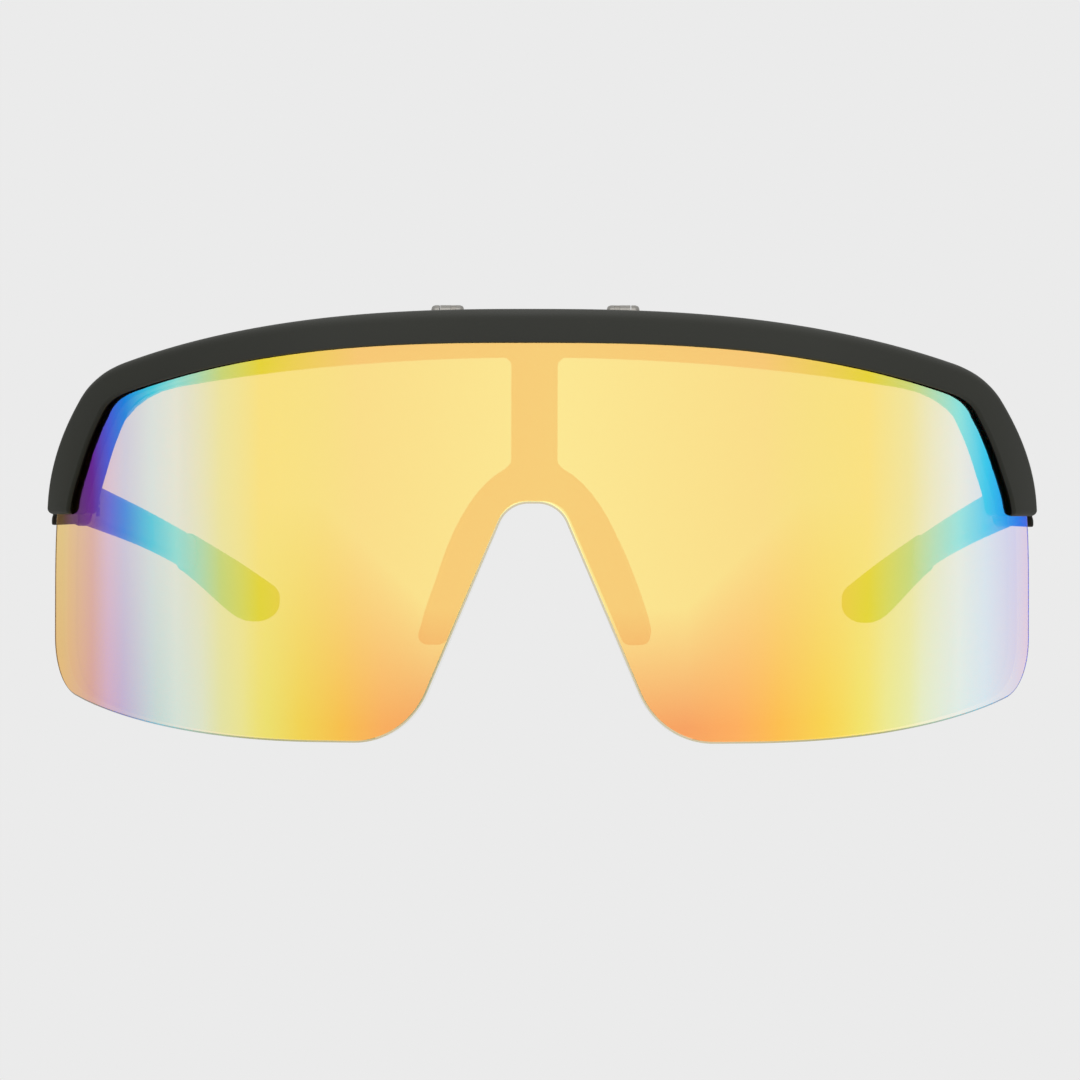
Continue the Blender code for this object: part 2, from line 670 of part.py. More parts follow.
def make_inner_frame(parent, finish):
    outline = [(p.x, 0, p.y) for p in band_outline()]
    widest = max(point[0] for point in outline)
    radius = WRAP_RADIUS - BAND_FRONT
    count = int(math.asin(widest / radius) / WRAP_STEP)
    places = [radius * math.sin(WRAP_STEP * i) for i in range(-count, count + 1)]
    bm = sliced(prism(outline, (0, 1, 0)), places)
    for vert in bm.verts:
        vert.co.y = wrap_y(vert.co.x, BAND_BACK if vert.co.y > 0.5 else BAND_FRONT)
    frame = add("inner_frame", bm, parent, finish)
    for name, side in SIDES:
        block = combine(frame, end_block(side), "UNION", f"end_piece_{name}")
        combine(block, end_plan(side), "INTERSECT", "plan")
        combine(block, end_profile(side), "INTERSECT", "profile")
        combine(frame, band_trim(side), "DIFFERENCE", f"band_trim_{name}")
        combine(frame, post_box(side), "UNION", f"pad_post_{name}")
        combine(frame, knuckle_relief(side), "DIFFERENCE", f"knuckle_relief_{name}")
        (seat, into), _ = leaf_screw_lines(side)
        combine(frame, screw_hole(seat, into, SMALL_SCREW_LENGTH + LEAF_THICKNESS),
                "DIFFERENCE", f"leaf_screw_hole_{name}")
        for number, (seat, into) in enumerate(bracket_screw_lines(side)):
            hole = screw_hole(seat, into, SMALL_SCREW_LENGTH)
            combine(frame, hole, "DIFFERENCE", f"bracket_screw_hole_{name}_{number}")
    return frame


def make_nose_pad(name, side, parent, finish):
    """A soft bean-shaped pad behind a nose arm, leaning to match the nose."""
    rings = []
    rows = 9
    sides = 12
    wide = Vector((math.cos(PAD_FLARE), -math.sin(PAD_FLARE), 0)) * PAD_THICKNESS / 2
    deep = Vector((math.sin(PAD_FLARE), math.cos(PAD_FLARE), 0)) * PAD_DEPTH / 2
    for row in range(rows):
        turn = math.pi * row / (rows - 1)
        bulge = PAD_END_SHARE + (1 - PAD_END_SHARE) * max(math.sin(turn), 0) ** PAD_FULLNESS
        drop = PAD_TOP_DROP + (PAD_BOTTOM_DROP - PAD_TOP_DROP) * (1 - math.cos(turn)) / 2
        x = arm_middle(drop)
        front = wrap_y(x, BAND_BACK) + FIT_GAP
        centre = Vector((x + deep.x, front + PAD_DEPTH / 2, -drop))
        ring = []
        for k in range(sides):
            a = 2 * math.pi * k / sides
            point = centre + (wide * math.cos(a) + deep * math.sin(a)) * bulge
            ring.append(Vector((side * point.x, point.y, point.z)))
        rings.append(ring)
    pad = add(f"nose_pad_{name}", loft(rings), parent, finish)
    combine(pad, post_box(side, FIT_GAP), "DIFFERENCE", "post_pocket")
    return pad


def ear_spans():
    """Where the hinge's parts lie along its pin, from its inner end: ear, washer, knuckle, ear."""
    spans = []
    place = -FLIP_WIDTH / 2
    for width in (FLIP_EAR_WIDTH, WASHER_THICKNESS, FLIP_MIDDLE_WIDTH, FLIP_EAR_WIDTH):
        spans.append((place, place + width))
        place += width + FLIP_SIDE_GAP
    return spans


def along_pin(side, span, radius, sides=ROUND_SIDES):
    """A round bar on the flip axis over a span measured outwards from the hinge's middle."""
    start = (side * (FLIP_X + span[0]), FLIP_AXIS_Y, -FLIP_AXIS_DROP)
    end = (side * (FLIP_X + span[1]), FLIP_AXIS_Y, -FLIP_AXIS_DROP)
    return rod(start, end, radius, sides)


def pin_hole(side):
    half = FLIP_WIDTH
    return along_pin(side, (-half, half), FLIP_PIN_RADIUS + HOLE_GAP, 12)


def make_flip_bracket(name, side, parent, finish):
    """A flange screwed behind the band, with two ears for the pin."""
    centre, turn = bracket_frame(side)
    gap = FRONT_GAP
    low = (-BRACKET_WIDTH / 2, gap, -BRACKET_BOTTOM_DROP)
    high = (BRACKET_WIDTH / 2, gap + BRACKET_THICKNESS, -BRACKET_TOP_DROP)
    bracket = add(f"flip_bracket_{name}", box(low, high, turn, centre), parent, finish)
    ears = ear_spans()
    for number, span in enumerate((ears[0], ears[3])):
        combine(bracket, along_pin(side, span, FLIP_KNUCKLE_RADIUS), "UNION", f"knuckle_{number}")
        xs = sorted(side * (FLIP_X + place) for place in span)
        web_front = wrap_y(FLIP_X + span[1], BAND_BACK) + FRONT_GAP + BRACKET_THICKNESS / 8
        web_back = FLIP_AXIS_Y + FLIP_KNUCKLE_RADIUS - BRACKET_THICKNESS / 11
        web_low = -BRACKET_TOP_DROP - BRACKET_THICKNESS * 3 / 4
        web = box((xs[0], web_front, web_low), (xs[1], web_back, -FLIP_AXIS_DROP))
        combine(bracket, web, "UNION", f"web_{number}")
    combine(bracket, pin_hole(side), "DIFFERENCE", "pin_hole")
    for number, (seat, into) in enumerate(bracket_screw_lines(side)):
        outside = seat - into * 2 * BRACKET_THICKNESS
        hole = screw_hole(outside, into, BRACKET_THICKNESS * 4)
        combine(bracket, hole, "DIFFERENCE", f"screw_hole_{number}")
        seat_on_flange = seat - into * (gap + BRACKET_THICKNESS)
        length = SMALL_SCREW_LENGTH + gap + BRACKET_THICKNESS
        screw(f"bracket_screw_{name}_{number + 1}", seat_on_flange, into, parent,
              bpy.data.materials["steel"], SMALL_HEAD_RADIUS, SMALL_SCREW_RADIUS, length)
    return bracket


def peg_places(side):
    return [side * (FLIP_X + step * PEG_SPACING / 2) for step in (-1, 1)]


def make_flip_leaf(name, side, parent, finish):
    """A plate pegged behind the brow, with a strap back to the middle knuckle."""
    middle_u = WRAP_RADIUS * math.asin(FLIP_X / (WRAP_RADIUS - BROW_BACK))
    front = BROW_BACK + FIT_GAP
    steps = 4
    rings = []
    for step in range(steps + 1):
        u = side * (middle_u + FLIP_LEAF_WIDTH * (step / steps - 0.5))
        rings.append([
            on_wrap(u, depth, -drop)
            for depth, drop in (
                (front, FLIP_LEAF_TOP_DROP),
                (front + FLIP_LEAF_THICKNESS, FLIP_LEAF_TOP_DROP),
                (front + FLIP_LEAF_THICKNESS, FLIP_LEAF_BOTTOM_DROP),
                (front, FLIP_LEAF_BOTTOM_DROP),
            )
        ])
    leaf = add(f"flip_leaf_{name}", loft(rings), parent, finish)
    span = ear_spans()[2]
    combine(leaf, along_pin(side, span, FLIP_KNUCKLE_RADIUS), "UNION", "knuckle")
    xs = sorted(side * (FLIP_X + place) for place in span)
    strap_low = -FLIP_AXIS_DROP - FLIP_KNUCKLE_RADIUS + FLIP_LEAF_THICKNESS / 2
    strap_front = wrap_y(FLIP_X + span[1], front) + FLIP_LEAF_THICKNESS / 2
    strap = box((xs[0], strap_front, strap_low), (xs[1], FLIP_AXIS_Y, -FLIP_LEAF_TOP_DROP))
    combine(leaf, strap, "UNION", "strap")
    for number, x in enumerate(peg_places(side)):
        y = wrap_y(x, BROW_BACK)
        z = -(FLIP_LEAF_TOP_DROP + FLIP_LEAF_BOTTOM_DROP) / 2
        peg = rod((x, y + FIT_GAP + FLIP_LEAF_THICKNESS / 2, z), (x, y - PEG_LENGTH, z), PEG_RADIUS, 10)
        combine(leaf, peg, "UNION", f"peg_{number}")
    combine(leaf, pin_hole(side), "DIFFERENCE", "pin_hole")
    return leaf


def make_flip_hardware(name, side, parent):
    """The pin and the friction washer of a flip hinge."""
    steel = bpy.data.materials["steel"]
    half = FLIP_WIDTH / 2
    add(f"flip_pin_{name}", along_pin(side, (-half, half), FLIP_PIN_RADIUS, 12), parent, steel)
    ring = along_pin(side, ear_spans()[1], FLIP_KNUCKLE_RADIUS * WASHER_SHARE)
    washer = add(f"flip_washer_{name}", ring, parent, bpy.data.materials["bronze"])
    combine(washer, pin_hole(side), "DIFFERENCE", "bore")


def knuckle_heights():
    """Where the temple hinge's three knuckles lie, from the top down."""
    half = MIDDLE_KNUCKLE_HEIGHT / 2
    outer = half + FIT_GAP
    return (
        (outer, outer + OUTER_KNUCKLE_HEIGHT),
        (-half, half),
        (-outer - OUTER_KNUCKLE_HEIGHT, -outer),
    )


def leaf_seat(side):
    """The flat that is cut in the temple's inner face for its hinge leaf."""
    half = max(high for _, high in knuckle_heights()) + FIT_GAP
    far = PIVOT_Y + TEMPLE_KNUCKLE_RADIUS + LEAF_LENGTH + FIT_GAP
    xs = sorted((side * END_INNER_X, side * (END_INNER_X - END_THICKNESS)))
    low = (xs[0], PIVOT_Y - TEMPLE_KNUCKLE_RADIUS, -TEMPLE_PIVOT_DROP - half)
    return box(low, (xs[1], far, -TEMPLE_PIVOT_DROP + half))


def make_temple_leaf(name, side, parent, finish, spans, direction):
    """A flat leaf on a face beside the pivot, with knuckles round the hinge screw."""
    top = max(high for _, high in knuckle_heights())
    far = PIVOT_Y + direction * (TEMPLE_KNUCKLE_RADIUS + LEAF_LENGTH)
    near = PIVOT_Y + direction * (TEMPLE_KNUCKLE_RADIUS + FIT_GAP)
    face = END_INNER_X - FIT_GAP
    xs = sorted((side * face, side * (face - LEAF_THICKNESS)))
    ys = sorted((near, far))
    plate = box((xs[0], ys[0], -TEMPLE_PIVOT_DROP - top), (xs[1], ys[1], -TEMPLE_PIVOT_DROP + top))
    leaf = add(name, plate, parent, finish)
    ys = sorted((PIVOT_Y, near + direction * LEAF_THICKNESS))
    for number, (low, high) in enumerate(spans):
        low, high = low - TEMPLE_PIVOT_DROP, high - TEMPLE_PIVOT_DROP
        place = (side * PIVOT_X, PIVOT_Y)
        combine(leaf, rod((*place, low), (*place, high), TEMPLE_KNUCKLE_RADIUS), "UNION",
                f"knuckle_{number}")
        neck = box((xs[0], ys[0], low), (xs[1], ys[1], high))
        combine(leaf, neck, "UNION", f"neck_{number}")
    place = (side * PIVOT_X, PIVOT_Y)
    bore = rod((*place, -TEMPLE_PIVOT_DROP - 2 * top), (*place, -TEMPLE_PIVOT_DROP + 2 * top),
               TEMPLE_SCREW_RADIUS + HOLE_GAP, 12)
    combine(leaf, bore, "DIFFERENCE", "bore")
    seat, into = leaf_screw_lines(side)[0 if direction < 0 else 1]
    combine(leaf, screw_hole(seat - into * LEAF_THICKNESS, into, 3 * LEAF_THICKNESS),
            "DIFFERENCE", "screw_hole")
    length = LEAF_THICKNESS + SMALL_SCREW_LENGTH
    screw(name.replace("_leaf_", "_leaf_screw_"), seat, into, parent, bpy.data.materials["steel"],
          SMALL_HEAD_RADIUS, SMALL_SCREW_RADIUS, length)
    return leaf


def rounding(along, length):
    """How far a quarter round has closed, from 0 where it starts to 1 at the temple's end."""
    share = min(max(1 - (TEMPLE_LENGTH - along) / length, 0), 1)
    return 1 - math.sqrt(1 - share * share)


def temple_edges(along, grown=0.0):
    """The heights of the temple's upper and lower edge at a distance along it."""
    t = along / TEMPLE_LENGTH
    heights = ((0, ROOT_HEIGHT), (WAIST_PLACE, WAIST_HEIGHT), (TIP_PLACE, TIP_HEIGHT))
    height = eased(heights, t)
    top = -BUTT_TOP_DROP - TEMPLE_FALL * t * (1 - TEMPLE_BOW + TEMPLE_BOW * t)
    end = top - TIP_END_DROP
    upper = top + grown
    lower = top - height - grown
    upper -= (upper - end) * rounding(along, TIP_TOP_ROUND)
    lower += (end - lower) * rounding(along, TIP_HEEL_ROUND)
    return upper, lower


def temple_thickness(along):
    t = along / TEMPLE_LENGTH
    stations = ((0, END_THICKNESS), (0.2, ARM_THICKNESS), (0.6, ARM_THICKNESS), (0.85, TIP_THICKNESS))
    return eased(stations, t)


def temple_section(along, edges, thickness, side):
    """The temple's ring at a distance along it, a rounded upright oblong between two heights."""
    toe_in = TEMPLE_TOE_IN * (along / TEMPLE_LENGTH) ** TEMPLE_TOE_POWER
    x = END_OUTER_X - END_THICKNESS / 2 - toe_in
    inner, outer = x - thickness / 2, x + thickness / 2
    upper, lower = edges
    corner = min(thickness, upper - lower) * SECTION_ROUND
    corners = [(outer, upper), (inner, upper), (inner, lower), (outer, lower)]
    outline = rounded([(*point, corner) for point in corners], steps=2)
    return [Vector((side * p.x, ROOT_Y + along, p.y)) for p in outline]


def core_section(along, gap, side):
    """The ring of the arm's core inside the sleeve, or of its socket with a gap round it."""
    middle = sum(temple_edges(along)) / 2
    half = CORE_HEIGHT / 2 + gap
    return temple_section(along, (middle + half, middle - half), CORE_THICKNESS + 2 * gap, side)


def make_temple_arm(name, side, parent, finish):
    """The arm, which narrows to a core inside the tip's sleeve."""
    shoulder = TEMPLE_LENGTH - SLEEVE_LENGTH - FIT_GAP
    steps = 14
    rings = []
    for step in range(steps + 1):
        along = shoulder * step / steps
        rings.append(temple_section(along, temple_edges(along), temple_thickness(along), side))
    core_steps = 5
    for step in range(core_steps + 1):
        rings.append(core_section(shoulder + CORE_LENGTH * step / core_steps, 0.0, side))
    arm = add(f"temple_arm_{name}", loft(rings), parent, finish)
    combine(arm, knuckle_relief(side), "DIFFERENCE", "knuckle_relief")
    combine(arm, leaf_seat(side), "DIFFERENCE", "leaf_seat")
    _, (seat, into) = leaf_screw_lines(side)
    combine(arm, screw_hole(seat, into, SMALL_SCREW_LENGTH + LEAF_THICKNESS), "DIFFERENCE",
            "leaf_screw_hole")
    return arm


def make_temple_tip(name, side, parent, finish):
    """The rubber sleeve: from the foot of its socket to its mouth, then along its outside."""
    mouth = TEMPLE_LENGTH - SLEEVE_LENGTH
    rings = []
    core_steps = 5
    for step in range(core_steps + 1):
        along = mouth + (CORE_LENGTH + FIT_GAP) * (1 - step / core_steps)
        rings.append(core_section(along, FIT_GAP, side))
    body_steps = 7
    body = SLEEVE_LENGTH - TIP_HEEL_ROUND
    places = [mouth + body * step / body_steps for step in range(body_steps + 1)]
    round_steps = 8
    last = math.radians(86)
    for step in range(1, round_steps + 1):
        places.append(TEMPLE_LENGTH - TIP_HEEL_ROUND * (1 - math.sin(last * step / round_steps)))
    for along in places:
        thickness = temple_thickness(along) + 2 * SLEEVE_STEP
        thickness *= 1 - TIP_THINNING * rounding(along, TIP_TOP_ROUND)
        rings.append(temple_section(along, temple_edges(along, SLEEVE_STEP), thickness, side))
    return add(f"temple_tip_{name}", loft(rings), parent, finish)


def make_temple_hardware(name, side, root, temple):
    """Both hinge leaves and the screw they turn on."""
    steel = bpy.data.materials["steel"]
    top, middle, bottom = knuckle_heights()
    make_temple_leaf(f"frame_leaf_{name}", side, root, steel, (top, bottom), -1)
    make_temple_leaf(f"temple_leaf_{name}", side, temple, steel, (middle,), 1)
    seat = Vector((side * PIVOT_X, PIVOT_Y, -TEMPLE_PIVOT_DROP + top[1]))
    screw(f"temple_screw_{name}", seat, Vector((0, 0, -1)), root, steel, TEMPLE_SCREW_HEAD,
          TEMPLE_SCREW_RADIUS, top[1] - bottom[0])


def stand_up(root):
    """Pitches the whole onto the lens's foot and the temple tips, centred on the ground."""
    bpy.context.view_layer.update()
    pieces = [thing for thing in bpy.data.objects if thing.type == "MESH" and not thing.hide_render]
    corners = [thing.matrix_world @ v.co for thing in pieces for v in thing.data.vertices]
    front = [p for p in corners if p.y < BUTT_Y]
    back = [p for p in corners if p.y >= BUTT_Y]
    pitch = 0.0
    settling_rounds = 4
    for _ in range(settling_rounds):
        lean = Vector((0, -math.sin(pitch), math.cos(pitch)))
        lens_foot = min(front, key=lambda p: p.dot(lean))
        tip_foot = min(back, key=lambda p: p.dot(lean))
        pitch = math.atan2(tip_foot.z - lens_foot.z, tip_foot.y - lens_foot.y)
    turn = Matrix.Rotation(-pitch, 4, "X")
    stood = [turn @ p for p in corners]
    ys = [p.y for p in stood]
    root.rotation_euler = (-pitch, 0, 0)
    root.location = (0, -(min(ys) + max(ys)) / 2, -min(p.z for p in stood))


def build():
    clear_scene()
    black = material("black_frame", (0.035, 0.036, 0.033), 0.55)
    rubber = material("black_rubber", (0.02, 0.02, 0.02), 0.8)
    mirror = material("mirror_lens", (0.95, 0.75, 0.25), 0.05, 0.0, 0.6)
    steel = material("steel", (0.35, 0.32, 0.30), 0.35, 1.0)
    material("bronze", (0.45, 0.30, 0.15), 0.4, 1.0)
    root = empty("stand", (0, 0, 0))
    flip = empty("flip_axis", (0, FLIP_AXIS_Y, -FLIP_AXIS_DROP), root)
    make_brow(flip, black)
    make_lens(flip, mirror)
    make_inner_frame(root, black)
    for name, side in SIDES:
        pivot = (side * PIVOT_X, PIVOT_Y, -TEMPLE_PIVOT_DROP)
        temple = empty(f"temple_axis_{name}", pivot, root)
        make_nose_pad(name, side, root, rubber)
        make_flip_bracket(name, side, root, steel)
        make_flip_leaf(name, side, flip, steel)
        make_flip_hardware(name, side, root)
        make_temple_arm(name, side, temple, black)
        make_temple_tip(name, side, temple, rubber)
        make_temple_hardware(name, side, root, temple)
    stand_up(root)


build()
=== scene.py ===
"""The look of the flip-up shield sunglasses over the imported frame.

Pieces are drawn in the frame of the lens, as the part's source does: X to the right seen
from the front, Y back from the lens's face, Z up from the top of the brow, in metres.
"""
import json
import math

import bmesh
import bpy
from mathutils import Matrix, Vector


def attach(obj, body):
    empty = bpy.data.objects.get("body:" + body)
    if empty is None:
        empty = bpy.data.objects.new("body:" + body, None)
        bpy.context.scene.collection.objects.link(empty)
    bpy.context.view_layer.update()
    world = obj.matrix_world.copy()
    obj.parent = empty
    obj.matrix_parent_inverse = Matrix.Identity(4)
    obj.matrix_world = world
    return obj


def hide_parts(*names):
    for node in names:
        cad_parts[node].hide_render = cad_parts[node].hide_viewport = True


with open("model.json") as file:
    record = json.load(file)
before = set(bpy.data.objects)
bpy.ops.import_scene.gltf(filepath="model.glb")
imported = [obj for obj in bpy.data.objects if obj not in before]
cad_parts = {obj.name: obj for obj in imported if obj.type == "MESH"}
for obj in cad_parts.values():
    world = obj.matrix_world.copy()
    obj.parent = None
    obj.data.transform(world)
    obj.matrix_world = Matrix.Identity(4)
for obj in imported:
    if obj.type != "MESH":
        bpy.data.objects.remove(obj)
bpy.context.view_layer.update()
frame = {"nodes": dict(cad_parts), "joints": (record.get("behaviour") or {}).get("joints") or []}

# Dimensions shared with the part's source
FIT_GAP = 0.0003
LENS_THICKNESS = 0.0020
LENS_DROP = 0.0619
LENS_FLARE = 0.0007
LENS_FLARE_DROP = 0.0110
LENS_FLAT_END = 0.0320
LENS_SWEEP_RADIUS = 0.205
LENS_CORNER_RADIUS = 0.0090
LENS_EDGE_ROUND = 0.00028
LENS_EDGE_STEPS = 3
LENS_SLICE = math.radians(1.5)
NOTCH_DROP = 0.0277
NOTCH_HALF = 0.0036
NOTCH_SLOPE = math.radians(66.7)
NOTCH_TOP_RADIUS = 0.0045
NOTCH_FOOT_RADIUS = 0.0120
HALF_WIDTH = 0.0736
SHOULDER_INSET = 0.0130
CROWN_DROP = 0.0070
CROWN_POWER = 2.65
ELBOW_INSET = 0.0057
ELBOW_DROP = 0.0122
ELBOW_ANGLE = math.radians(56.5)
LEG_DROP = 0.0292
FACES = ((0, 0.00485), (0.6, 0.00440), (0.86, 0.00510), (1, 0.00450))
SOURCE_STEPS = (15, 6, 8)
BROW_PROUD = 0.0011
BROW_ROUND = 0.0016
BROW_LIP_ROUND = 0.0005
BROW_HEEL_ROUND = 0.0003
BROW_FOOT_ROUND = 0.0009
BROW_FOOT_STEPS = 6
GROOVE_MOUTH_ROUND = 0.00015
GROOVE_FLOOR_ROUND = 0.0001
BROW_WALL = 0.0018
BROW_BACK = 0.0042
BAND_BACK = 0.0076
ARM_KNEE_X = 0.0136
ARM_KNEE_DROP = 0.0370
ARM_SLOPE = math.radians(72)
NOSE_REVEAL = 0.0004
PAD_TOP_DROP = 0.0305
PAD_BOTTOM_DROP = 0.0468
PAD_DEPTH = 0.0070
PAD_THICKNESS = 0.0030
PAD_FLARE = math.radians(20)
PAD_FULLNESS = 0.45
PAD_END_SHARE = 0.05
PAD_BULGE_SHARE = 0.94
PAD_ROWS = 28
PAD_AROUND = 28
WRAP_ANGLE = math.radians(59.87)
WRAP_RADIUS = HALF_WIDTH / math.sin(WRAP_ANGLE) - BROW_PROUD
WRAP_DEPTH = WRAP_RADIUS * (1 - math.cos(WRAP_ANGLE))
END_OUTER_X = 0.0732
END_THICKNESS = 0.0041
BUTT_TOP_DROP = 0.0233
BUTT_BOTTOM_DROP = 0.0298
ROOT_Y = WRAP_DEPTH + 0.0135
TEMPLE_LENGTH = 0.1050
TEMPLE_FALL = 0.0180
TEMPLE_BOW = 0.45
TEMPLE_TOE_IN = 0.0226
TEMPLE_TOE_POWER = 1.25
TEMPLE_CORNER_SHARE = 0.42
TEMPLE_STEPS = 40
TIP_TOP_ROUND = 0.0040
TIP_HEEL_ROUND = 0.0160
TIP_END_DROP = 0.0012
TIP_THINNING = 0.85
TIP_STEPS = 30
SLEEVE_LENGTH = 0.0420
SLEEVE_STEP = 0.0003
SLEEVE_LEAD = 0.0003
SLEEVE_MOUTH = ((0.0, 0.45), (0.0, 0.8), (0.00008, 0.93))
SEAM_LAP = 0.00005
HEIGHTS = ((0, BUTT_BOTTOM_DROP - BUTT_TOP_DROP), (0.55, 0.0054), (0.95, 0.0078))
THICKNESSES = ((0, END_THICKNESS), (0.2, 0.0030), (0.6, 0.0030), (0.85, 0.0042))
FLIP_X = 0.0126
FLIP_AXIS = Vector((0, 0.0096, -0.00065))
FLIP_KNUCKLE_RADIUS = 0.0015
FLIP_PIN_RADIUS = 0.0006
EAR_BORE = 0.0009
WASHER_SPAN = (-0.00125, -0.00045)
COLLAR_SPAN = (0.00117, 0.00132)
EAR_END = 0.00235
EAR_ROUND = 0.0006
EAR_CUTS = (0.12, 0.4, 1.0)
RING_CLEARANCE = 0.00002
RING_SOFTNESS = 0.00002
WELD_DISTANCE = 0.000001
SIDES = (("left", -1), ("right", 1))

# How finely the shapes are drawn and softened here
CROWN_STEPS = 60
SHOULDER_STEPS = 20
LEG_STEPS = 26
VOXEL = 0.00014
SMOOTHINGS = 20
KEPT_SHARE = 0.2
SHARP_METAL = 35
SOFT_EDGE = 0.00007
SOFT_EDGE_ANGLE = math.radians(50)

# The dye stops short of the edge of the nose notch on the back of the lens
UNDYED = 0.0005
UNDYED_REACH = 0.0235

# Camera, in the frame of the lens
VIEW_DISTANCE = 0.900
VIEW_AZIMUTH = math.radians(1.6)
VIEW_ROLL = math.radians(0.12)
VIEW_AIM = Vector((0.00100, 0, -0.03287))
VIEW_FOCAL = 211.1
VIEW_SENSOR = 36.0
VIEW_NEAR = 0.01

# Stage
BACKDROP = (0.831, 0.831, 0.831, 1.0)
WHITE = (1.0, 1.0, 1.0, 1.0)
FLOOR_SHADE = (0.80, 0.80, 0.80, 1.0)
FLOOR_RADIUS = 4.0
FLOOR_GAP = 0.00002
LAMP_SIZE = 1.2
LAMP_ENERGY = 6.0
LAMP_PLACE = (0, -0.3, 1.4)
LAMP_TILT = math.radians(-12)

joints = {joint["name"]: joint for joint in frame["joints"]}
upright = Vector(joints["temple_fold_right"]["axis"])
TILT = Matrix.Rotation(-math.atan2(upright.y, upright.z), 4, "X")
STAND = Matrix.Translation(Vector(joints["flip_hinge"]["pos_m"]) - TILT @ FLIP_AXIS) @ TILT


# Nodes and materials


class Nodes:
    """A material's nodes: each call adds one, sets its plain inputs and links the others."""

    def __init__(self, name):
        self.material = bpy.data.materials.new(name)
        self.material.use_nodes = True
        self.tree = self.material.node_tree
        self.tree.nodes.clear()

    def feed(self, socket, value):
        """Links a socket to another node's output, or sets its plain value."""
        if isinstance(value, bpy.types.NodeSocket):
            self.tree.links.new(value, socket)
        else:
            socket.default_value = value

    def add(self, kind, out=0, **inputs):
        """A node whose inputs are given by name, or as i0, i1 and so on by number."""
        node = self.tree.nodes.new(kind)
        for key, value in inputs.items():
            numbered = key[0] == "i" and key[1:].isdigit()
            self.feed(node.inputs[int(key[1:]) if numbered else key.replace("_", " ")], value)
        return node.outputs[out] if out is not None else node

    def ramp(self, factor, stops):
        """A row of colours read off at a factor from 0 to 1."""
        node = self.tree.nodes.new("ShaderNodeValToRGB")
        self.tree.links.new(factor, node.inputs[0])
        elements = node.color_ramp.elements
        while len(elements) < len(stops):
            elements.new(1.0)
        for element, (place, colour) in zip(elements, stops):
            element.position = place
            element.color = (*colour, 1.0)
        return node.outputs[0]

    def maths(self, operation, *values, clamp=False):
        """A sum on plain values or other nodes' outputs."""
        node = self.tree.nodes.new("ShaderNodeMath")
        node.operation = operation
        node.use_clamp = clamp
        for socket, value in zip(node.inputs, values):
            self.feed(socket, value)
        return node.outputs[0]

    def mixed(self, factor, first, second):
        """One colour going over into another with the factor."""
        node = self.tree.nodes.new("ShaderNodeMix")
        node.data_type = "RGBA"
        self.feed(node.inputs[0], factor)
        for socket, colour in ((node.inputs[6], first), (node.inputs[7], second)):
            self.feed(socket, (*colour, 1.0) if isinstance(colour, tuple) else colour)
        return node.outputs[2]

    def times(self, first, second):
        """Two colours multiplied."""
        node = self.tree.nodes.new("ShaderNodeMix")
        node.data_type = "RGBA"
        node.blend_type = "MULTIPLY"
        node.inputs[0].default_value = 1.0
        self.tree.links.new(first, node.inputs[6])
        self.tree.links.new(second, node.inputs[7])
        return node.outputs[2]

    def place(self):
        """Where a point lies, in metres."""
        return self.add("ShaderNodeTexCoord", out=3)

    def noise(self, scale, detail, vector=None):
        """An even noise from 0 to 1."""
        return self.add("ShaderNodeTexNoise", Vector=vector or self.place(), Scale=scale,
                        Detail=detail, Roughness=0.5)

    def finish(self, shader):
        """The material, with this shader on its surface."""
        output = self.tree.nodes.new("ShaderNodeOutputMaterial")
        self.tree.links.new(shader, output.inputs["Surface"])
        return self.material


def toned(colour, share):
    """A colour darkened and lightened by a share of itself."""
    return [tuple(c * part for c in colour) for part in (1 - share, 1 + share)]


# Painted shade on the brow's ends: where its gloss starts to fade, out from its middle, and over
# what length, so the ends read darker
ENDS_SHADE_MIDDLE = 0.006
ENDS_SHADE_START = 0.035
ENDS_SHADE_SPAN = 0.04


def moulded(name, colour, roughness, specular, grain=6000.0, depth=0.00002, ends_shade=0.0):
    """Moulded plastic or rubber with a fine grain, and painted shade on its ends if asked: less
    gloss towards them, so they read darker.
    """
    n = Nodes(name)
    level = specular
    if ends_shade:
        # Painted shade: the gloss falls off from the middle out to the ends
        parts = n.add("ShaderNodeSeparateXYZ", out=None, Vector=n.place())
        sideways = n.maths("ABSOLUTE", n.maths("SUBTRACT", parts.outputs[0], ENDS_SHADE_MIDDLE))
        past = n.maths("SUBTRACT", sideways, ENDS_SHADE_START)
        ends_shaded = n.maths("MULTIPLY", past, 1 / ENDS_SHADE_SPAN, clamp=True)
        level = n.maths("MULTIPLY_ADD", ends_shaded, -specular * ends_shade, specular)
    fine = n.noise(grain, 2.0)
    slow = n.noise(60.0, 4.0)
    base = n.mixed(slow, *toned(colour, 0.25))
    rough = n.maths("MULTIPLY_ADD", slow, 0.16, roughness - 0.08)
    rough = n.maths("MULTIPLY_ADD", fine, 0.10, rough)
    bump = n.add("ShaderNodeBump", Strength=0.6, Distance=depth, Height=fine)
    shader = n.add("ShaderNodeBsdfPrincipled", Base_Color=base, Roughness=rough, Normal=bump,
                   Specular_IOR_Level=level)
    shader.node.inputs["Specular IOR Level"].default_value = specular * (1 - ends_shade / 2)
    return n.finish(shader)


def metal(name, colour, roughness, uneven=0.18):
    """Plated or turned metal with fine streaks and slightly uneven gloss."""
    n = Nodes(name)
    stretched = n.add("ShaderNodeMapping", Vector=n.place(), Scale=(1.0, 0.08, 0.08))
    fine = n.noise(9000.0, 2.0, vector=stretched)
    slow = n.noise(700.0, 3.0)
    base = n.mixed(slow, *toned(colour, uneven))
    rough = n.maths("MULTIPLY_ADD", slow, 0.18, roughness - 0.09)
    bump = n.add("ShaderNodeBump", Strength=0.4, Distance=0.00001, Height=fine)
    shader = n.add("ShaderNodeBsdfPrincipled", Base_Color=base, Roughness=rough, Normal=bump,
                   Metallic=1.0)
    return n.finish(shader)


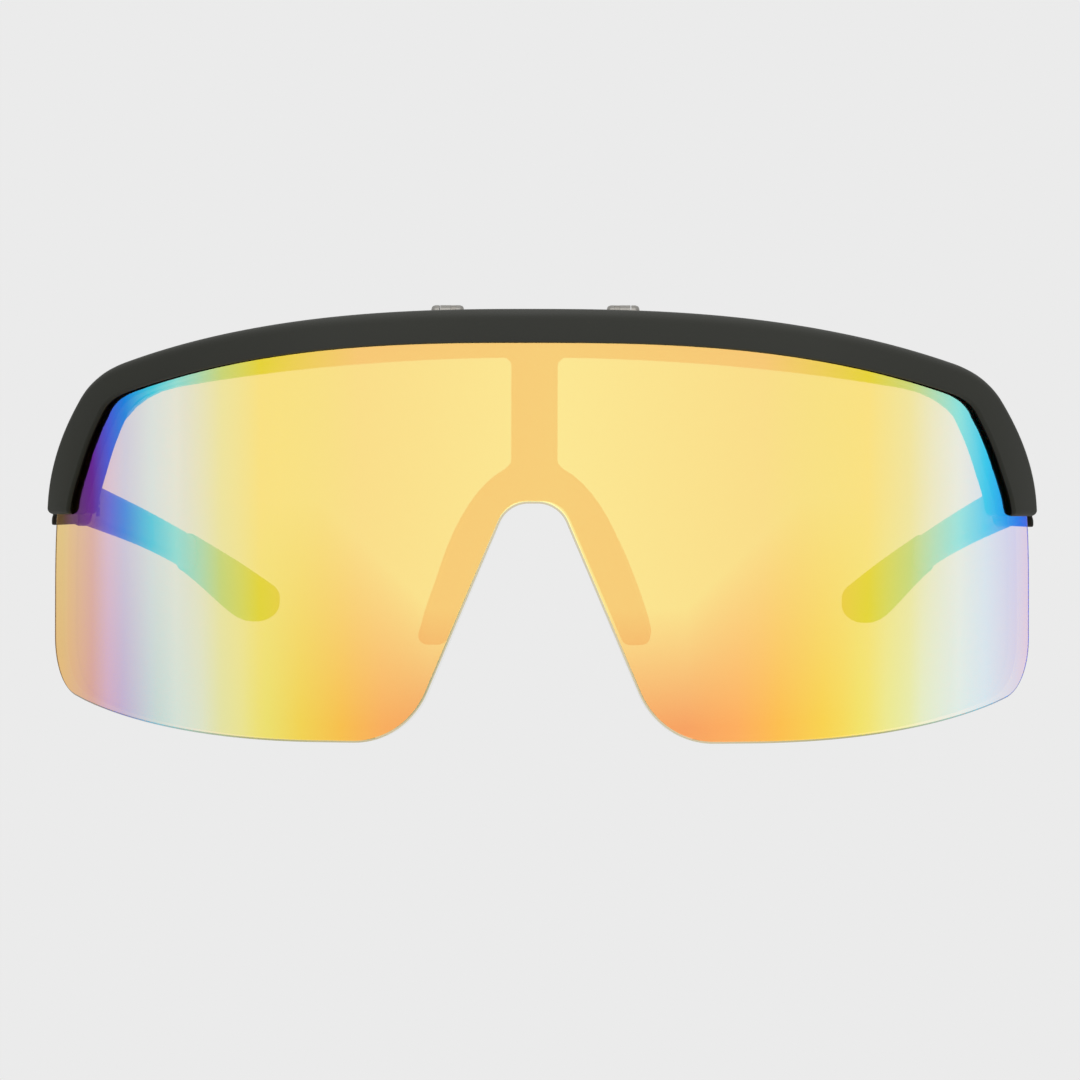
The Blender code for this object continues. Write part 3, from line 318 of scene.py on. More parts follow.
# The coating's colours, from the middle of its pattern to the lens's ends
PATTERN_SHIFT = 0.0031
PATTERN_REACH_LEFT = 0.0742
PATTERN_REACH_RIGHT = 0.0780
MIRROR = (
    (0.00, (0.930, 0.610, 0.190)),
    (0.38, (0.930, 0.578, 0.181)),
    (0.575, (0.790, 0.650, 0.040)),
    (0.654, (0.591, 0.665, 0.178)),
    (0.748, (0.262, 0.753, 0.645)),
    (0.80, (0.045, 0.580, 0.750)),
    (0.859, (0.010, 0.223, 0.753)),
    (0.894, (0.061, 0.102, 0.680)),
    (0.931, (0.127, 0.021, 0.305)),
    (1.0, (0.100, 0.060, 0.030)),
)
TINT = (
    (0.00, (0.17, 0.48, 0.33)),
    (0.38, (0.10, 0.39, 0.24)),
    (0.575, (0.34, 0.19, 0.37)),
    (0.654, (0.51, 0.19, 0.27)),
    (0.748, (0.81, 0.11, 0.03)),
    (0.80, (0.87, 0.25, 0.012)),
    (0.859, (0.81, 0.53, 0.0)),
    (0.894, (0.83, 0.60, 0.0)),
    (0.931, (0.75, 0.60, 0.17)),
    (1.0, (0.82, 0.66, 0.31)),
)
DYE = (
    (0.00, (0.30, 0.45, 0.36)),
    (0.38, (0.30, 0.45, 0.36)),
    (0.654, (0.66, 0.70, 0.68)),
    (0.80, (0.88, 0.86, 0.84)),
    (1.0, (0.94, 0.90, 0.88)),
)
RIM_DYE = (
    (0.00, (0.86, 0.80, 0.60)),
    (0.30, (0.86, 0.80, 0.60)),
    (0.55, (0.60, 0.60, 0.42)),
    (0.80, (0.88, 0.86, 0.84)),
    (1.0, (0.94, 0.90, 0.88)),
)
# Painted shade: the deeper tones of the lens's lower part
LOW_SHADE = (
    (0.00, (0.95, 0.49, 0.45)),
    (0.24, (0.95, 0.49, 0.45)),
    (0.332, (1.00, 0.58, 0.44)),
    (0.412, (1.00, 0.71, 0.32)),
    (0.492, (0.96, 0.86, 0.39)),
    (0.56, (0.91, 0.98, 0.70)),
    (0.61, (0.92, 1.00, 1.00)),
    (0.77, (0.84, 0.94, 1.00)),
    (1.00, (0.95, 0.85, 0.90)),
)
# Painted shade and light: slight differences from the lens's left end to its right end, above and
# below
SIDE_SHADE = (
    (0.114, (1.00, 0.98, 0.92)),
    (0.153, (0.93, 0.92, 0.98)),
    (0.194, (0.97, 0.99, 1.03)),
    (0.25, (1.00, 1.00, 1.00)),
    (0.85, (1.00, 1.00, 1.00)),
    (0.89, (0.99, 1.00, 1.10)),
)
LOW_SIDE_SHADE = (
    (0.04, (1.05, 0.96, 0.82)),
    (0.084, (0.98, 0.81, 0.87)),
    (0.125, (0.93, 0.94, 0.89)),
    (0.171, (0.97, 0.98, 1.18)),
    (0.22, (0.97, 1.00, 1.00)),
    (0.75, (1.03, 1.00, 1.05)),
    (0.80, (1.05, 1.01, 0.88)),
    (0.85, (1.00, 1.07, 1.05)),
    (0.88, (1.03, 1.09, 1.34)),
    (0.91, (1.06, 1.06, 1.20)),
    (0.97, (1.22, 1.15, 1.08)),
)
# The heights between which that painted shade comes in, higher up towards the lens's ends
LOW_START = 0.0200
LOW_START_OUTER = 0.0347
LOW_END = 0.0030
LOW_OUTER_FROM = 0.24
LOW_OUTER_SPAN = 0.21
# How much of the lens's front edge is solid colour: in the middle, and added at its ends
RIM_SOLID = 0.3
RIM_SOLID_ENDS = 0.6


def across_lens(n):
    """How far a point of the lens lies from the middle of its coating's pattern, 0 to 1."""
    parts = n.add("ShaderNodeSeparateXYZ", out=None, Vector=n.place())
    rightward = n.maths("SUBTRACT", parts.outputs[0], PATTERN_SHIFT)
    right = n.maths("DIVIDE", rightward, PATTERN_REACH_RIGHT)
    left = n.maths("DIVIDE", rightward, -PATTERN_REACH_LEFT)
    return n.maths("MAXIMUM", right, left), parts


def lens_face():
    """The mirror coating: it reflects one colour and lets the rest through, with painted shade
    deepening it below and painted shade and light from end to end.
    """
    n = Nodes("lens_mirror")
    away, parts = across_lens(n)
    along = n.maths("MULTIPLY_ADD", parts.outputs[0], 0.5 / HALF_WIDTH, 0.5)
    height = parts.outputs[2]
    past = n.maths("SUBTRACT", away, LOW_OUTER_FROM)
    outer = n.maths("MULTIPLY", past, 1 / LOW_OUTER_SPAN, clamp=True)
    start = n.maths("MULTIPLY_ADD", outer, LOW_START_OUTER - LOW_START, LOW_START)
    low = n.maths("DIVIDE", n.maths("SUBTRACT", start, height),
                  n.maths("SUBTRACT", start, LOW_END), clamp=True)
    # Painted shade below, and painted shade and light from end to end, tint both the reflected and
    # the passed colours
    lower = n.times(n.ramp(away, LOW_SHADE), n.ramp(along, LOW_SIDE_SHADE))
    shade = n.mixed(low, n.ramp(along, SIDE_SHADE), lower)
    glossy = n.add("ShaderNodeBsdfAnisotropic", Color=n.times(n.ramp(away, MIRROR), shade),
                   Roughness=0.03)
    clear = n.add("ShaderNodeBsdfTransparent", Color=n.times(n.ramp(away, TINT), shade))
    return n.finish(n.add("ShaderNodeAddShader", i0=glossy, i1=clear))


def lens_back():
    """The dyed back of the lens, with a weak plain reflection."""
    n = Nodes("lens_back")
    away, _ = across_lens(n)
    glossy = n.add("ShaderNodeBsdfAnisotropic", Color=(0.03, 0.03, 0.03, 1), Roughness=0.03)
    clear = n.add("ShaderNodeBsdfTransparent", Color=n.ramp(away, DYE))
    return n.finish(n.add("ShaderNodeAddShader", i0=glossy, i1=clear))


def lens_rim():
    """The softened front edge of the lens, where the dye is seen end on."""
    n = Nodes("lens_rim")
    away, _ = across_lens(n)
    colour = n.ramp(away, (
        (0.0, (0.62, 0.50, 0.26)),
        (0.3, (0.62, 0.50, 0.26)),
        (0.6, (0.42, 0.42, 0.09)),
        (0.72, (0.26, 0.50, 0.40)),
        (0.79, (0.10, 0.44, 0.58)),
        (0.855, (0.06, 0.08, 0.42)),
        (0.92, (0.15, 0.08, 0.05)),
        (1.0, (0.16, 0.14, 0.07)),
    ))
    solid = n.add("ShaderNodeBsdfPrincipled", Base_Color=colour, Roughness=0.25)
    clear = n.add("ShaderNodeBsdfTransparent", Color=n.ramp(away, RIM_DYE))
    share = n.maths("MULTIPLY_ADD", away, RIM_SOLID_ENDS, RIM_SOLID)
    return n.finish(n.add("ShaderNodeMixShader", i0=share, i1=clear, i2=solid))


def lens_side():
    """The clear cut side of the lens, hardly seen through its faces."""
    n = Nodes("lens_side")
    glossy = n.add("ShaderNodeBsdfAnisotropic", Color=(0.02, 0.02, 0.02, 1), Roughness=0.1)
    clear = n.add("ShaderNodeBsdfTransparent", Color=(0.95, 0.95, 0.95, 1))
    return n.finish(n.add("ShaderNodeAddShader", i0=glossy, i1=clear))


# The brow's ends carry painted shade: their gloss fades so they read darker
black = moulded("brow_soft_black", (0.015, 0.016, 0.011), 0.55, 0.40, ends_shade=0.66)
# Painted shade: the brow's lip and the groove's mouth, near black with hardly any gloss
lip_painted_shade = moulded("brow_lip_painted_shade", (0.001, 0.001, 0.001), 0.6, 0.04)
frame_black = moulded("frame_soft_black", (0.010, 0.010, 0.009), 0.5, 0.35)
pad_rubber = moulded("pad_rubber", (0.012, 0.012, 0.012), 0.7, 0.3, grain=3000.0)
tip_rubber = moulded("tip_rubber", (0.011, 0.011, 0.010), 0.72, 0.3, grain=2500.0, depth=0.00004)
hinge_metal = metal("hinge_grey", (0.235, 0.226, 0.208), 0.42, uneven=0.06)
screw_metal = metal("screw_steel", (0.50, 0.48, 0.45), 0.30)
washer_metal = metal("washer_bronze", (0.220, 0.208, 0.188), 0.44, uneven=0.06)
dark_metal = metal("hinge_black_plate", (0.022, 0.021, 0.020), 0.42)
mirror_face = lens_face()
mirror_back = lens_back()
mirror_rim = lens_rim()
clear_side = lens_side()


# Shapes


def rounded(corners, steps=5):
    """An outline from (x, z, radius) corners: a corner with a radius becomes an arc."""
    outline = []
    for i, (x, z, radius) in enumerate(corners):
        corner = Vector((x, z))
        if not radius:
            outline.append(corner)
            continue
        back = (Vector(corners[i - 1][:2]) - corner).normalized()
        ahead = (Vector(corners[(i + 1) % len(corners)][:2]) - corner).normalized()
        half = back.angle(ahead) / 2
        centre = corner + (back + ahead).normalized() * radius / math.sin(half)
        start = corner + back * radius / math.tan(half) - centre
        sweep = start.angle_signed(corner + ahead * radius / math.tan(half) - centre)
        for step in range(steps + 1):
            arm = start.copy()
            arm.rotate(Matrix.Rotation(-sweep * step / steps, 2))
            outline.append(centre + arm)
    return outline


def meet(start, angle, other, other_angle):
    """Where two lines cross, each through a point and falling at an angle."""
    a = Vector((math.cos(angle), -math.sin(angle)))
    b = Vector((math.cos(other_angle), -math.sin(other_angle)))
    gap = Vector(other) - Vector(start)
    reach = (gap.x * b.y - gap.y * b.x) / (a.x * b.y - a.y * b.x)
    return Vector(start) + a * reach


def curve(start, control, end, steps):
    """A quadratic curve's points after its start."""
    start, control, end = Vector(start), Vector(control), Vector(end)
    found = []
    for step in range(1, steps + 1):
        t = step / steps
        found.append(start * (1 - t) ** 2 + control * 2 * t * (1 - t) + end * t * t)
    return found


def eased(stations, t):
    """A smooth value at t, between the (t, value) stations on either side of it."""
    for (t0, v0), (t1, v1) in zip(stations, stations[1:]):
        if t <= t1:
            share = (t - t0) / (t1 - t0)
            return v0 + (v1 - v0) * share * share * (3 - 2 * share)
    return stations[-1][1]


def on_wrap(u, depth, z):
    """The point this far along the lens's front face, behind it and up."""
    angle = u / WRAP_RADIUS
    radius = WRAP_RADIUS - depth
    return Vector((radius * math.sin(angle), WRAP_RADIUS - radius * math.cos(angle), z))


def wrap_y(x, depth):
    """How far back the surface at this depth behind the lens's face lies, at x."""
    return WRAP_RADIUS - math.sqrt((WRAP_RADIUS - depth) ** 2 - x * x)


def loft(rings, ends=True):
    """A closed solid skinned over rings of as many points each."""
    bm = bmesh.new()
    rows = [[bm.verts.new(point) for point in ring] for ring in rings]
    for row, following in zip(rows, rows[1:]):
        for i in range(len(row)):
            j = (i + 1) % len(row)
            bm.faces.new((row[i], row[j], following[j], following[i]))
    if ends:
        bm.faces.new(rows[0])
        bm.faces.new(rows[-1])
    return bm


def piece(name, bm, body, nodes, slot, *materials, sharp=40):
    """A shown piece from a mesh drawn in the lens's frame, riding on a body for its nodes."""
    bmesh.ops.recalc_face_normals(bm, faces=bm.faces)
    mesh = bpy.data.meshes.new(name)
    bm.to_mesh(mesh)
    bm.free()
    mesh.transform(STAND)
    mesh.shade_smooth()
    if sharp:
        mesh.set_sharp_from_angle(angle=math.radians(sharp))
    made = bpy.data.objects.new(name, mesh)
    bpy.context.collection.objects.link(made)
    for material in materials:
        mesh.materials.append(material)
    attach(made, body)
    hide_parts(*nodes)
    return made


# Brow bar


def brow_edge():
    """The brow's outer edge from the front, from its centre to its right foot."""
    shoulder_x = HALF_WIDTH - SHOULDER_INSET
    edge = [
        Vector((shoulder_x * i / CROWN_STEPS, -CROWN_DROP * (i / CROWN_STEPS) ** CROWN_POWER))
        for i in range(CROWN_STEPS + 1)
    ]
    slope = math.atan(CROWN_POWER * CROWN_DROP / shoulder_x)
    elbow = Vector((HALF_WIDTH - ELBOW_INSET, -ELBOW_DROP))
    corner = meet(edge[-1], slope, elbow, ELBOW_ANGLE)
    bend = meet(elbow, ELBOW_ANGLE, (HALF_WIDTH, 0), math.pi / 2)
    foot = Vector((HALF_WIDTH, -LEG_DROP))
    shoulder = curve(edge[-1], corner, elbow, SHOULDER_STEPS)
    return edge + shoulder + curve(elbow, bend, foot, LEG_STEPS)


def inward(edge):
    """The direction into the brow at each point of its edge, square to it."""
    found = []
    for i, _ in enumerate(edge):
        run = edge[min(i + 1, len(edge) - 1)] - edge[max(i - 1, 0)]
        found.append(Vector((run.y, -run.x)).normalized())
    found[0] = Vector((0, -1))
    found[-1] = Vector((-1, 0))
    return found


def brow_shares(count):
    """Each edge point's place along the part's coarser row of points, 0 to 1."""
    crown, shoulder, leg = SOURCE_STEPS
    found = []
    for i in range(count):
        if i <= CROWN_STEPS:
            place = crown * i / CROWN_STEPS
        elif i <= CROWN_STEPS + SHOULDER_STEPS:
            place = crown + shoulder * (i - CROWN_STEPS) / SHOULDER_STEPS
        else:
            place = crown + shoulder + leg * (i - CROWN_STEPS - SHOULDER_STEPS) / LEG_STEPS
        found.append(place / sum(SOURCE_STEPS))
    return found


def brow_stations():
    """Pairs of points along the brow, outer and inner, on the unrolled lens face."""
    edge = brow_edge()
    front = WRAP_RADIUS + BROW_PROUD
    stations = []
    for point, into, share in zip(edge, inward(edge), brow_shares(len(edge))):
        sunk = point + into * BROW_ROUND
        u = WRAP_RADIUS * math.asin(sunk.x / (front - BROW_ROUND))
        outer = Vector((u - into.x * BROW_ROUND, point.y))
        inner = point + into * eased(FACES, share)
        stations.append((outer, Vector((WRAP_RADIUS * math.asin(inner.x / WRAP_RADIUS), inner.y))))
    return stations


def brow_section(width):
    """The brow's cross-section as (across, depth), across from its outer edge."""
    groove = (-FIT_GAP, LENS_THICKNESS + FIT_GAP)
    corners = [
        (width, groove[0], GROOVE_MOUTH_ROUND),
        (width, -BROW_PROUD, BROW_LIP_ROUND),
        (0, -BROW_PROUD, BROW_ROUND),
        (0, BROW_BACK, BROW_LIP_ROUND),
        (width, BROW_BACK, BROW_HEEL_ROUND),
        (width, groove[1], GROOVE_MOUTH_ROUND),
        (BROW_WALL, groove[1], GROOVE_FLOOR_ROUND),
        (BROW_WALL, groove[0], GROOVE_FLOOR_ROUND),
    ]
    return rounded(corners, steps=6)


def brow_ring(outer, inner, shrink=0.0, lower=0.0):
    """One ring of the brow, drawn in towards its middle by shrink and set lower."""
    width = (inner - outer).length
    across = (inner - outer).normalized()
    middle = Vector((width / 2, (BROW_BACK - BROW_PROUD) / 2))
    ring = []
    for a, depth in brow_section(width):
        a += (middle.x - a) * shrink / middle.x
        depth += (middle.y - depth) * shrink / (middle.y + BROW_PROUD)
        place = outer + across * a
        ring.append(on_wrap(place.x, depth, place.y - lower))
    return ring


def make_brow():
    """The brow bar with rounded feet; its lip and the groove's mouth carry painted shade, a deeper
    black.
    """
    stations = brow_stations()
    start = -LEG_DROP + BROW_FOOT_ROUND
    rings = [brow_ring(*pair) for pair in stations if pair[0].y > start]
    outer, inner = stations[-1]
    lift = Vector((0, BROW_FOOT_ROUND))
    for step in range(BROW_FOOT_STEPS + 1):
        angle = math.radians(90) * step / BROW_FOOT_STEPS
        shrink = BROW_FOOT_ROUND * (1 - math.cos(angle))
        lower = BROW_FOOT_ROUND * math.sin(angle)
        rings.append(brow_ring(outer + lift, inner + lift, shrink, lower))
    left = [[Vector((-p.x, p.y, p.z)) for p in ring] for ring in reversed(rings[1:])]
    bm = loft(left + rings)
    per_ring = len(rings[0])
    # The lip's faces get the painted shade material
    lip = set(range(8))
    bm.verts.index_update()
    for face in bm.faces:
        if len(face.verts) == 4:
            places = {v.index % per_ring for v in face.verts}
            if places <= lip:
                face.material_index = 1
    return piece("brow", bm, "flip_front", ["brow_bar"], "frame_black", black, lip_painted_shade)


# Lens


def groove_line():
    """The lens's edge inside the brow's groove, on its unrolled face."""
    inset = BROW_WALL + FIT_GAP
    return [outer + (inner - outer).normalized() * inset for outer, inner in brow_stations()]


def lens_outline():
    """The lens on its unrolled face: the edge in the groove, the sides, foot and notch."""
    top = groove_line()
    side = top[-1].x + LENS_FLARE
    flare = curve(top[-1], (side, top[-1].y - LENS_FLARE_DROP / 3),
                  (side, top[-1].y - LENS_FLARE_DROP), 12)
    foot_x = NOTCH_HALF + (LENS_DROP - NOTCH_DROP) / math.tan(NOTCH_SLOPE)
    sweep_steps = 40
    sweep = []
    for step in range(sweep_steps + 1):
        u = side + (LENS_FLAT_END - side) * step / sweep_steps
        rise = (u - LENS_FLAT_END) ** 2 / (2 * LENS_SWEEP_RADIUS)
        sweep.append((u, rise - LENS_DROP))
    clear = [p for p in sweep[1:] if p[0] < side - LENS_CORNER_RADIUS]
    corners = [(flare[-1].x, flare[-1].y, 0), (*sweep[0], LENS_CORNER_RADIUS)]
    corners += [(*p, 0) for p in clear]
    corners += [
        (foot_x, -LENS_DROP, NOTCH_FOOT_RADIUS),
        (NOTCH_HALF, -NOTCH_DROP, NOTCH_TOP_RADIUS),
        (0, -NOTCH_DROP, 0),
    ]
    half = top + flare[:-1] + rounded(corners, steps=20)
    return half + [Vector((-p.x, p.y)) for p in reversed(half[1:-1])]


def drawn_in(outline, inset):
    """The outline moved inwards by inset, corner by corner."""
    count = len(outline)
    following = outline[1:] + outline[:1]
    area = sum(a.x * b.y - b.x * a.y for a, b in zip(outline, following))
    turn = 1 if area > 0 else -1
    found = []
    for i, point in enumerate(outline):
        before = (point - outline[i - 1]).normalized()
        after = (outline[(i + 1) % count] - point).normalized()
        a = Vector((-before.y, before.x)) * turn
        b = Vector((-after.y, after.x)) * turn
        bisector = (a + b).normalized()
        found.append(point + bisector * inset / max(bisector.dot(a), 0.5))
    return found


def make_lens():
    """The lens with softened edges, cut into strips while flat and then wrapped round."""
    outline = lens_outline()
    profile = []
    for step in range(LENS_EDGE_STEPS + 1):
        a = math.radians(90) * step / LENS_EDGE_STEPS
        profile.append((LENS_EDGE_ROUND * (1 - math.sin(a)), LENS_EDGE_ROUND * (1 - math.cos(a))))
    profile += [(inset, LENS_THICKNESS - depth) for inset, depth in reversed(profile)]
    profile.append((UNDYED, LENS_THICKNESS))
    rings = []
    for inset, depth in profile:
        rings.append([Vector((p.x, depth, p.y)) for p in drawn_in(outline, inset)])
    bm = loft(rings)
    for face in bm.faces:
        middle = face.calc_center_median()
        back = middle.y > LENS_THICKNESS * 0.999
        if len(face.verts) > 4 or back and abs(middle.x) > UNDYED_REACH:
            face.material_index = 1 if back else 0
        else:
            face.material_index = 2 if middle.y < LENS_EDGE_ROUND else 3
    slice_step = WRAP_RADIUS * LENS_SLICE
    count = int(max(p.x for p in outline) / slice_step)
    for i in range(-count, count):
        everything = bm.verts[:] + bm.edges[:] + bm.faces[:]
        bmesh.ops.bisect_plane(bm, geom=everything, plane_co=((i + 0.5) * slice_step, 0, 0),
                               plane_no=(1, 0, 0))
    for vert in bm.verts:
        vert.co = on_wrap(*vert.co)
    lens = piece("lens", bm, "flip_front", ["shield_lens"], "lens_mirror",
                 mirror_face, mirror_back, mirror_rim, clear_side)
    even = lens.modifiers.new("even", "WEIGHTED_NORMAL")
    even.keep_sharp = True
    return lens


# Inner frame and pads


def make_inner_frame():
    """The frame's moulding with its edges softened."""
    made = bpy.data.objects.new("inner_frame_shown", frame["nodes"]["inner_frame"].data.copy())
    bpy.context.collection.objects.link(made)
    made.data.materials.clear()
    remesh = made.modifiers.new("even", "REMESH")
    remesh.mode = "VOXEL"
    remesh.voxel_size = VOXEL
    remesh.use_smooth_shade = True
    soften = made.modifiers.new("soften", "SMOOTH")
    soften.factor = 0.5
    soften.iterations = SMOOTHINGS
    fewer = made.modifiers.new("fewer", "DECIMATE")
    fewer.ratio = KEPT_SHARE
    depsgraph = bpy.context.evaluated_depsgraph_get()
    made.data = bpy.data.meshes.new_from_object(made.evaluated_get(depsgraph))
    made.modifiers.clear()
    made.data.materials.append(frame_black)
    made.data.shade_smooth()
    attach(made, "worn_frame")
    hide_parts("inner_frame")


def arm_middle(drop):
    """The x of a nose arm's middle at this drop."""
    inner = NOTCH_HALF + NOSE_REVEAL + (drop - NOTCH_DROP) / math.tan(NOTCH_SLOPE)
    outer = ARM_KNEE_X + (drop - ARM_KNEE_DROP) / math.tan(ARM_SLOPE)
    return (inner + outer) / 2


def make_nose_pad(name, side):
    """A nose pad, full in its middle and rounded off at both ends."""
    rings = []
    wide = Vector((math.cos(PAD_FLARE), -math.sin(PAD_FLARE), 0)) * PAD_THICKNESS / 2
    deep = Vector((math.sin(PAD_FLARE), math.cos(PAD_FLARE), 0)) * PAD_DEPTH / 2
    for row in range(PAD_ROWS + 1):
        turn = math.pi * row / PAD_ROWS
        bulge = PAD_END_SHARE + PAD_BULGE_SHARE * max(math.sin(turn), 0) ** PAD_FULLNESS
        drop = PAD_TOP_DROP + (PAD_BOTTOM_DROP - PAD_TOP_DROP) * (1 - math.cos(turn)) / 2
        x = arm_middle(drop)
        front = wrap_y(x, BAND_BACK) + FIT_GAP
        centre = Vector((x + deep.x, front + PAD_DEPTH / 2, -drop))
        ring = []
        for k in range(PAD_AROUND):
            a = 2 * math.pi * k / PAD_AROUND
            point = centre + (wide * math.cos(a) + deep * math.sin(a)) * bulge
            ring.append(Vector((side * point.x, point.y, point.z)))
        rings.append(ring)
    piece(f"pad_{name}", loft(rings), "worn_frame", [f"nose_pad_{name}"], "pad_rubber",
          pad_rubber, sharp=0)


# Temples


def rounding(along, length):
    """How far a quarter round has closed, from 0 where it starts to 1 at the temple's end."""
    share = min(max(1 - (TEMPLE_LENGTH - along) / length, 0), 1)
    return 1 - math.sqrt(1 - share * share)


def temple_edges(along, grown=0.0):
    """The heights of the temple's upper and lower edge at a distance along it."""
    t = along / TEMPLE_LENGTH
    top = -BUTT_TOP_DROP - TEMPLE_FALL * t * (1 - TEMPLE_BOW + TEMPLE_BOW * t)
    end = top - TIP_END_DROP
    upper = top + grown
    lower = top - eased(HEIGHTS, t) - grown
    upper -= (upper - end) * rounding(along, TIP_TOP_ROUND)
    lower += (end - lower) * rounding(along, TIP_HEEL_ROUND)
    return upper, lower


def temple_ring(along, edges, thickness, side):
    """The temple's ring at a distance along it, a rounded upright oblong between two heights."""
    toe_in = TEMPLE_TOE_IN * (along / TEMPLE_LENGTH) ** TEMPLE_TOE_POWER
    x = END_OUTER_X - END_THICKNESS / 2 - toe_in
    inner, outer = x - thickness / 2, x + thickness / 2
    upper, lower = edges
    corner = min(thickness, upper - lower) * TEMPLE_CORNER_SHARE
    corners = [(outer, upper), (inner, upper), (inner, lower), (outer, lower)]
    outline = rounded([(*point, corner) for point in corners], steps=6)
    return [Vector((side * p.x, ROOT_Y + along, p.y)) for p in outline]


def make_temple_arm(name, side):
    """A temple arm from its hinge to the mouth of the rubber sleeve."""
    shoulder = TEMPLE_LENGTH - SLEEVE_LENGTH + SEAM_LAP
    rings = []
    for step in range(TEMPLE_STEPS + 1):
        along = shoulder * step / TEMPLE_STEPS
        thickness = eased(THICKNESSES, along / TEMPLE_LENGTH)
        rings.append(temple_ring(along, temple_edges(along), thickness, side))
    piece(f"arm_{name}", loft(rings), f"{name}_temple", [f"temple_arm_{name}"],
          "frame_black", frame_black)


def make_temple_tip(name, side):
    """A rubber sleeve: a rounded mouth, the run along the arm and the rounded end."""
    mouth = TEMPLE_LENGTH - SLEEVE_LENGTH
    rings = []
    for along, size in SLEEVE_MOUTH:
        along += mouth
        upper, lower = temple_edges(along, SLEEVE_STEP)
        middle = (upper + lower) / 2
        edges = (middle + (upper - middle) * size, middle + (lower - middle) * size)
        thickness = eased(THICKNESSES, along / TEMPLE_LENGTH) + 2 * SLEEVE_STEP
        rings.append(temple_ring(along, edges, thickness * size, side))
    run = SLEEVE_LENGTH - TIP_HEEL_ROUND - SLEEVE_LEAD
    places = [mouth + SLEEVE_LEAD + run * step / TIP_STEPS for step in range(TIP_STEPS + 1)]
    for step in range(1, TIP_STEPS + 1):
        angle = math.radians(89) * step / TIP_STEPS
        places.append(TEMPLE_LENGTH - TIP_HEEL_ROUND * (1 - math.sin(angle)))
    for along in places:
        thickness = eased(THICKNESSES, along / TEMPLE_LENGTH) + 2 * SLEEVE_STEP
        thickness *= 1 - TIP_THINNING * rounding(along, TIP_TOP_ROUND)
        rings.append(temple_ring(along, temple_edges(along, SLEEVE_STEP), thickness, side))
    piece(f"tip_{name}", loft(rings), f"{name}_temple", [f"temple_tip_{name}"],
          "tip_rubber", tip_rubber)


# Flip hinges


def ring_bar(side, span, steps=40):
    """A ring round the flip pin over a span measured outwards from the hinge's middle."""
    radius = FLIP_KNUCKLE_RADIUS - RING_CLEARANCE
    near, far = span
    profile = (
        (FLIP_PIN_RADIUS, near),
        (radius - RING_SOFTNESS, near),
        (radius, near + RING_SOFTNESS),
        (radius, far - RING_SOFTNESS),
        (radius - RING_SOFTNESS, far),
        (FLIP_PIN_RADIUS, far),
    )
    rings = []
    for step in range(steps):
        a = 2 * math.pi * step / steps
        ring = []
        for r, along in profile:
            arm = Vector((side * (FLIP_X + along), r * math.cos(a), r * math.sin(a)))
            ring.append(FLIP_AXIS + arm)
        rings.append(ring)
    bm = loft(rings + rings[:1], ends=False)
    bmesh.ops.remove_doubles(bm, verts=bm.verts[:], dist=WELD_DISTANCE)
    return bm


def round_ears(bm, side):
    """Softens the outer ends of a flip bracket's ears, in the lens's frame."""
    for end in (-1, 1):
        for depth in EAR_CUTS:
            cut = FLIP_AXIS + Vector((side * FLIP_X + end * (EAR_END - EAR_ROUND * depth), 0, 0))
            whole = bm.verts[:] + bm.edges[:] + bm.faces[:]
            bmesh.ops.bisect_plane(bm, geom=whole, plane_co=cut, plane_no=(1, 0, 0))
    for vert in bm.verts:
        arm = vert.co - FLIP_AXIS - Vector((side * FLIP_X, 0, 0))
        along = EAR_END - abs(arm.x)
        arm.x = 0
        if along < EAR_ROUND and EAR_BORE < arm.length < FLIP_KNUCKLE_RADIUS * 1.02:
            share = 1 - max(along, 0) / EAR_ROUND
            vert.co -= arm.normalized() * EAR_ROUND * (1 - math.sqrt(1 - share * share))


def make_flip_bracket(name, side):
    """The bracket of the frame, with the outer ends of its ears rounded."""
    node = frame["nodes"][f"flip_bracket_{name}"]
    bm = bmesh.new()
    bm.from_mesh(node.data)
    bm.transform(STAND.inverted())
    round_ears(bm, side)
    piece(f"bracket_{name}", bm, "worn_frame", [node.name], "hinge_steel", hinge_metal,
          sharp=SHARP_METAL)


def make_flip_hinge(name, side):
    """The friction washer, as thick as its seat, and a collar beside the moving knuckle."""
    washer = ring_bar(side, WASHER_SPAN)
    piece(f"washer_{name}", washer, "worn_frame", [f"flip_washer_{name}"], "washer_bronze",
          washer_metal)
    collar = ring_bar(side, COLLAR_SPAN)
    collar.transform(STAND)
    node = frame["nodes"][f"flip_leaf_{name}"]
    collar.from_mesh(node.data)
    bmesh.ops.recalc_face_normals(collar, faces=collar.faces)
    mesh = bpy.data.meshes.new(f"flip_leaf_{name}_shown")
    collar.to_mesh(mesh)
    collar.free()
    mesh.materials.append(hinge_metal)
    mesh.set_sharp_from_angle(angle=math.radians(SHARP_METAL))
    made = bpy.data.objects.new(mesh.name, mesh)
    bpy.context.collection.objects.link(made)
    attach(made, "flip_front")
    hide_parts(f"flip_leaf_{name}")


# Carried-over metal parts


def dress_metal():
    """Finishes and softened edges for the hinge parts that come over from the frame."""
    for name, node in frame["nodes"].items():
        if node.hide_render:
            continue
        finish = hinge_metal
        if "screw" in name:
            finish = screw_metal
        if name.startswith(("frame_leaf", "temple_")):
            finish = dark_metal
        for index in range(max(len(node.material_slots), 1)):
            if index < len(node.data.materials):
                node.data.materials[index] = finish
            else:
                node.data.materials.append(finish)
        soft = node.modifiers.new("soft_edges", "BEVEL")
        soft.width = SOFT_EDGE
        soft.segments = 2
        soft.limit_method = "ANGLE"
        soft.angle_limit = SOFT_EDGE_ANGLE


# Stage


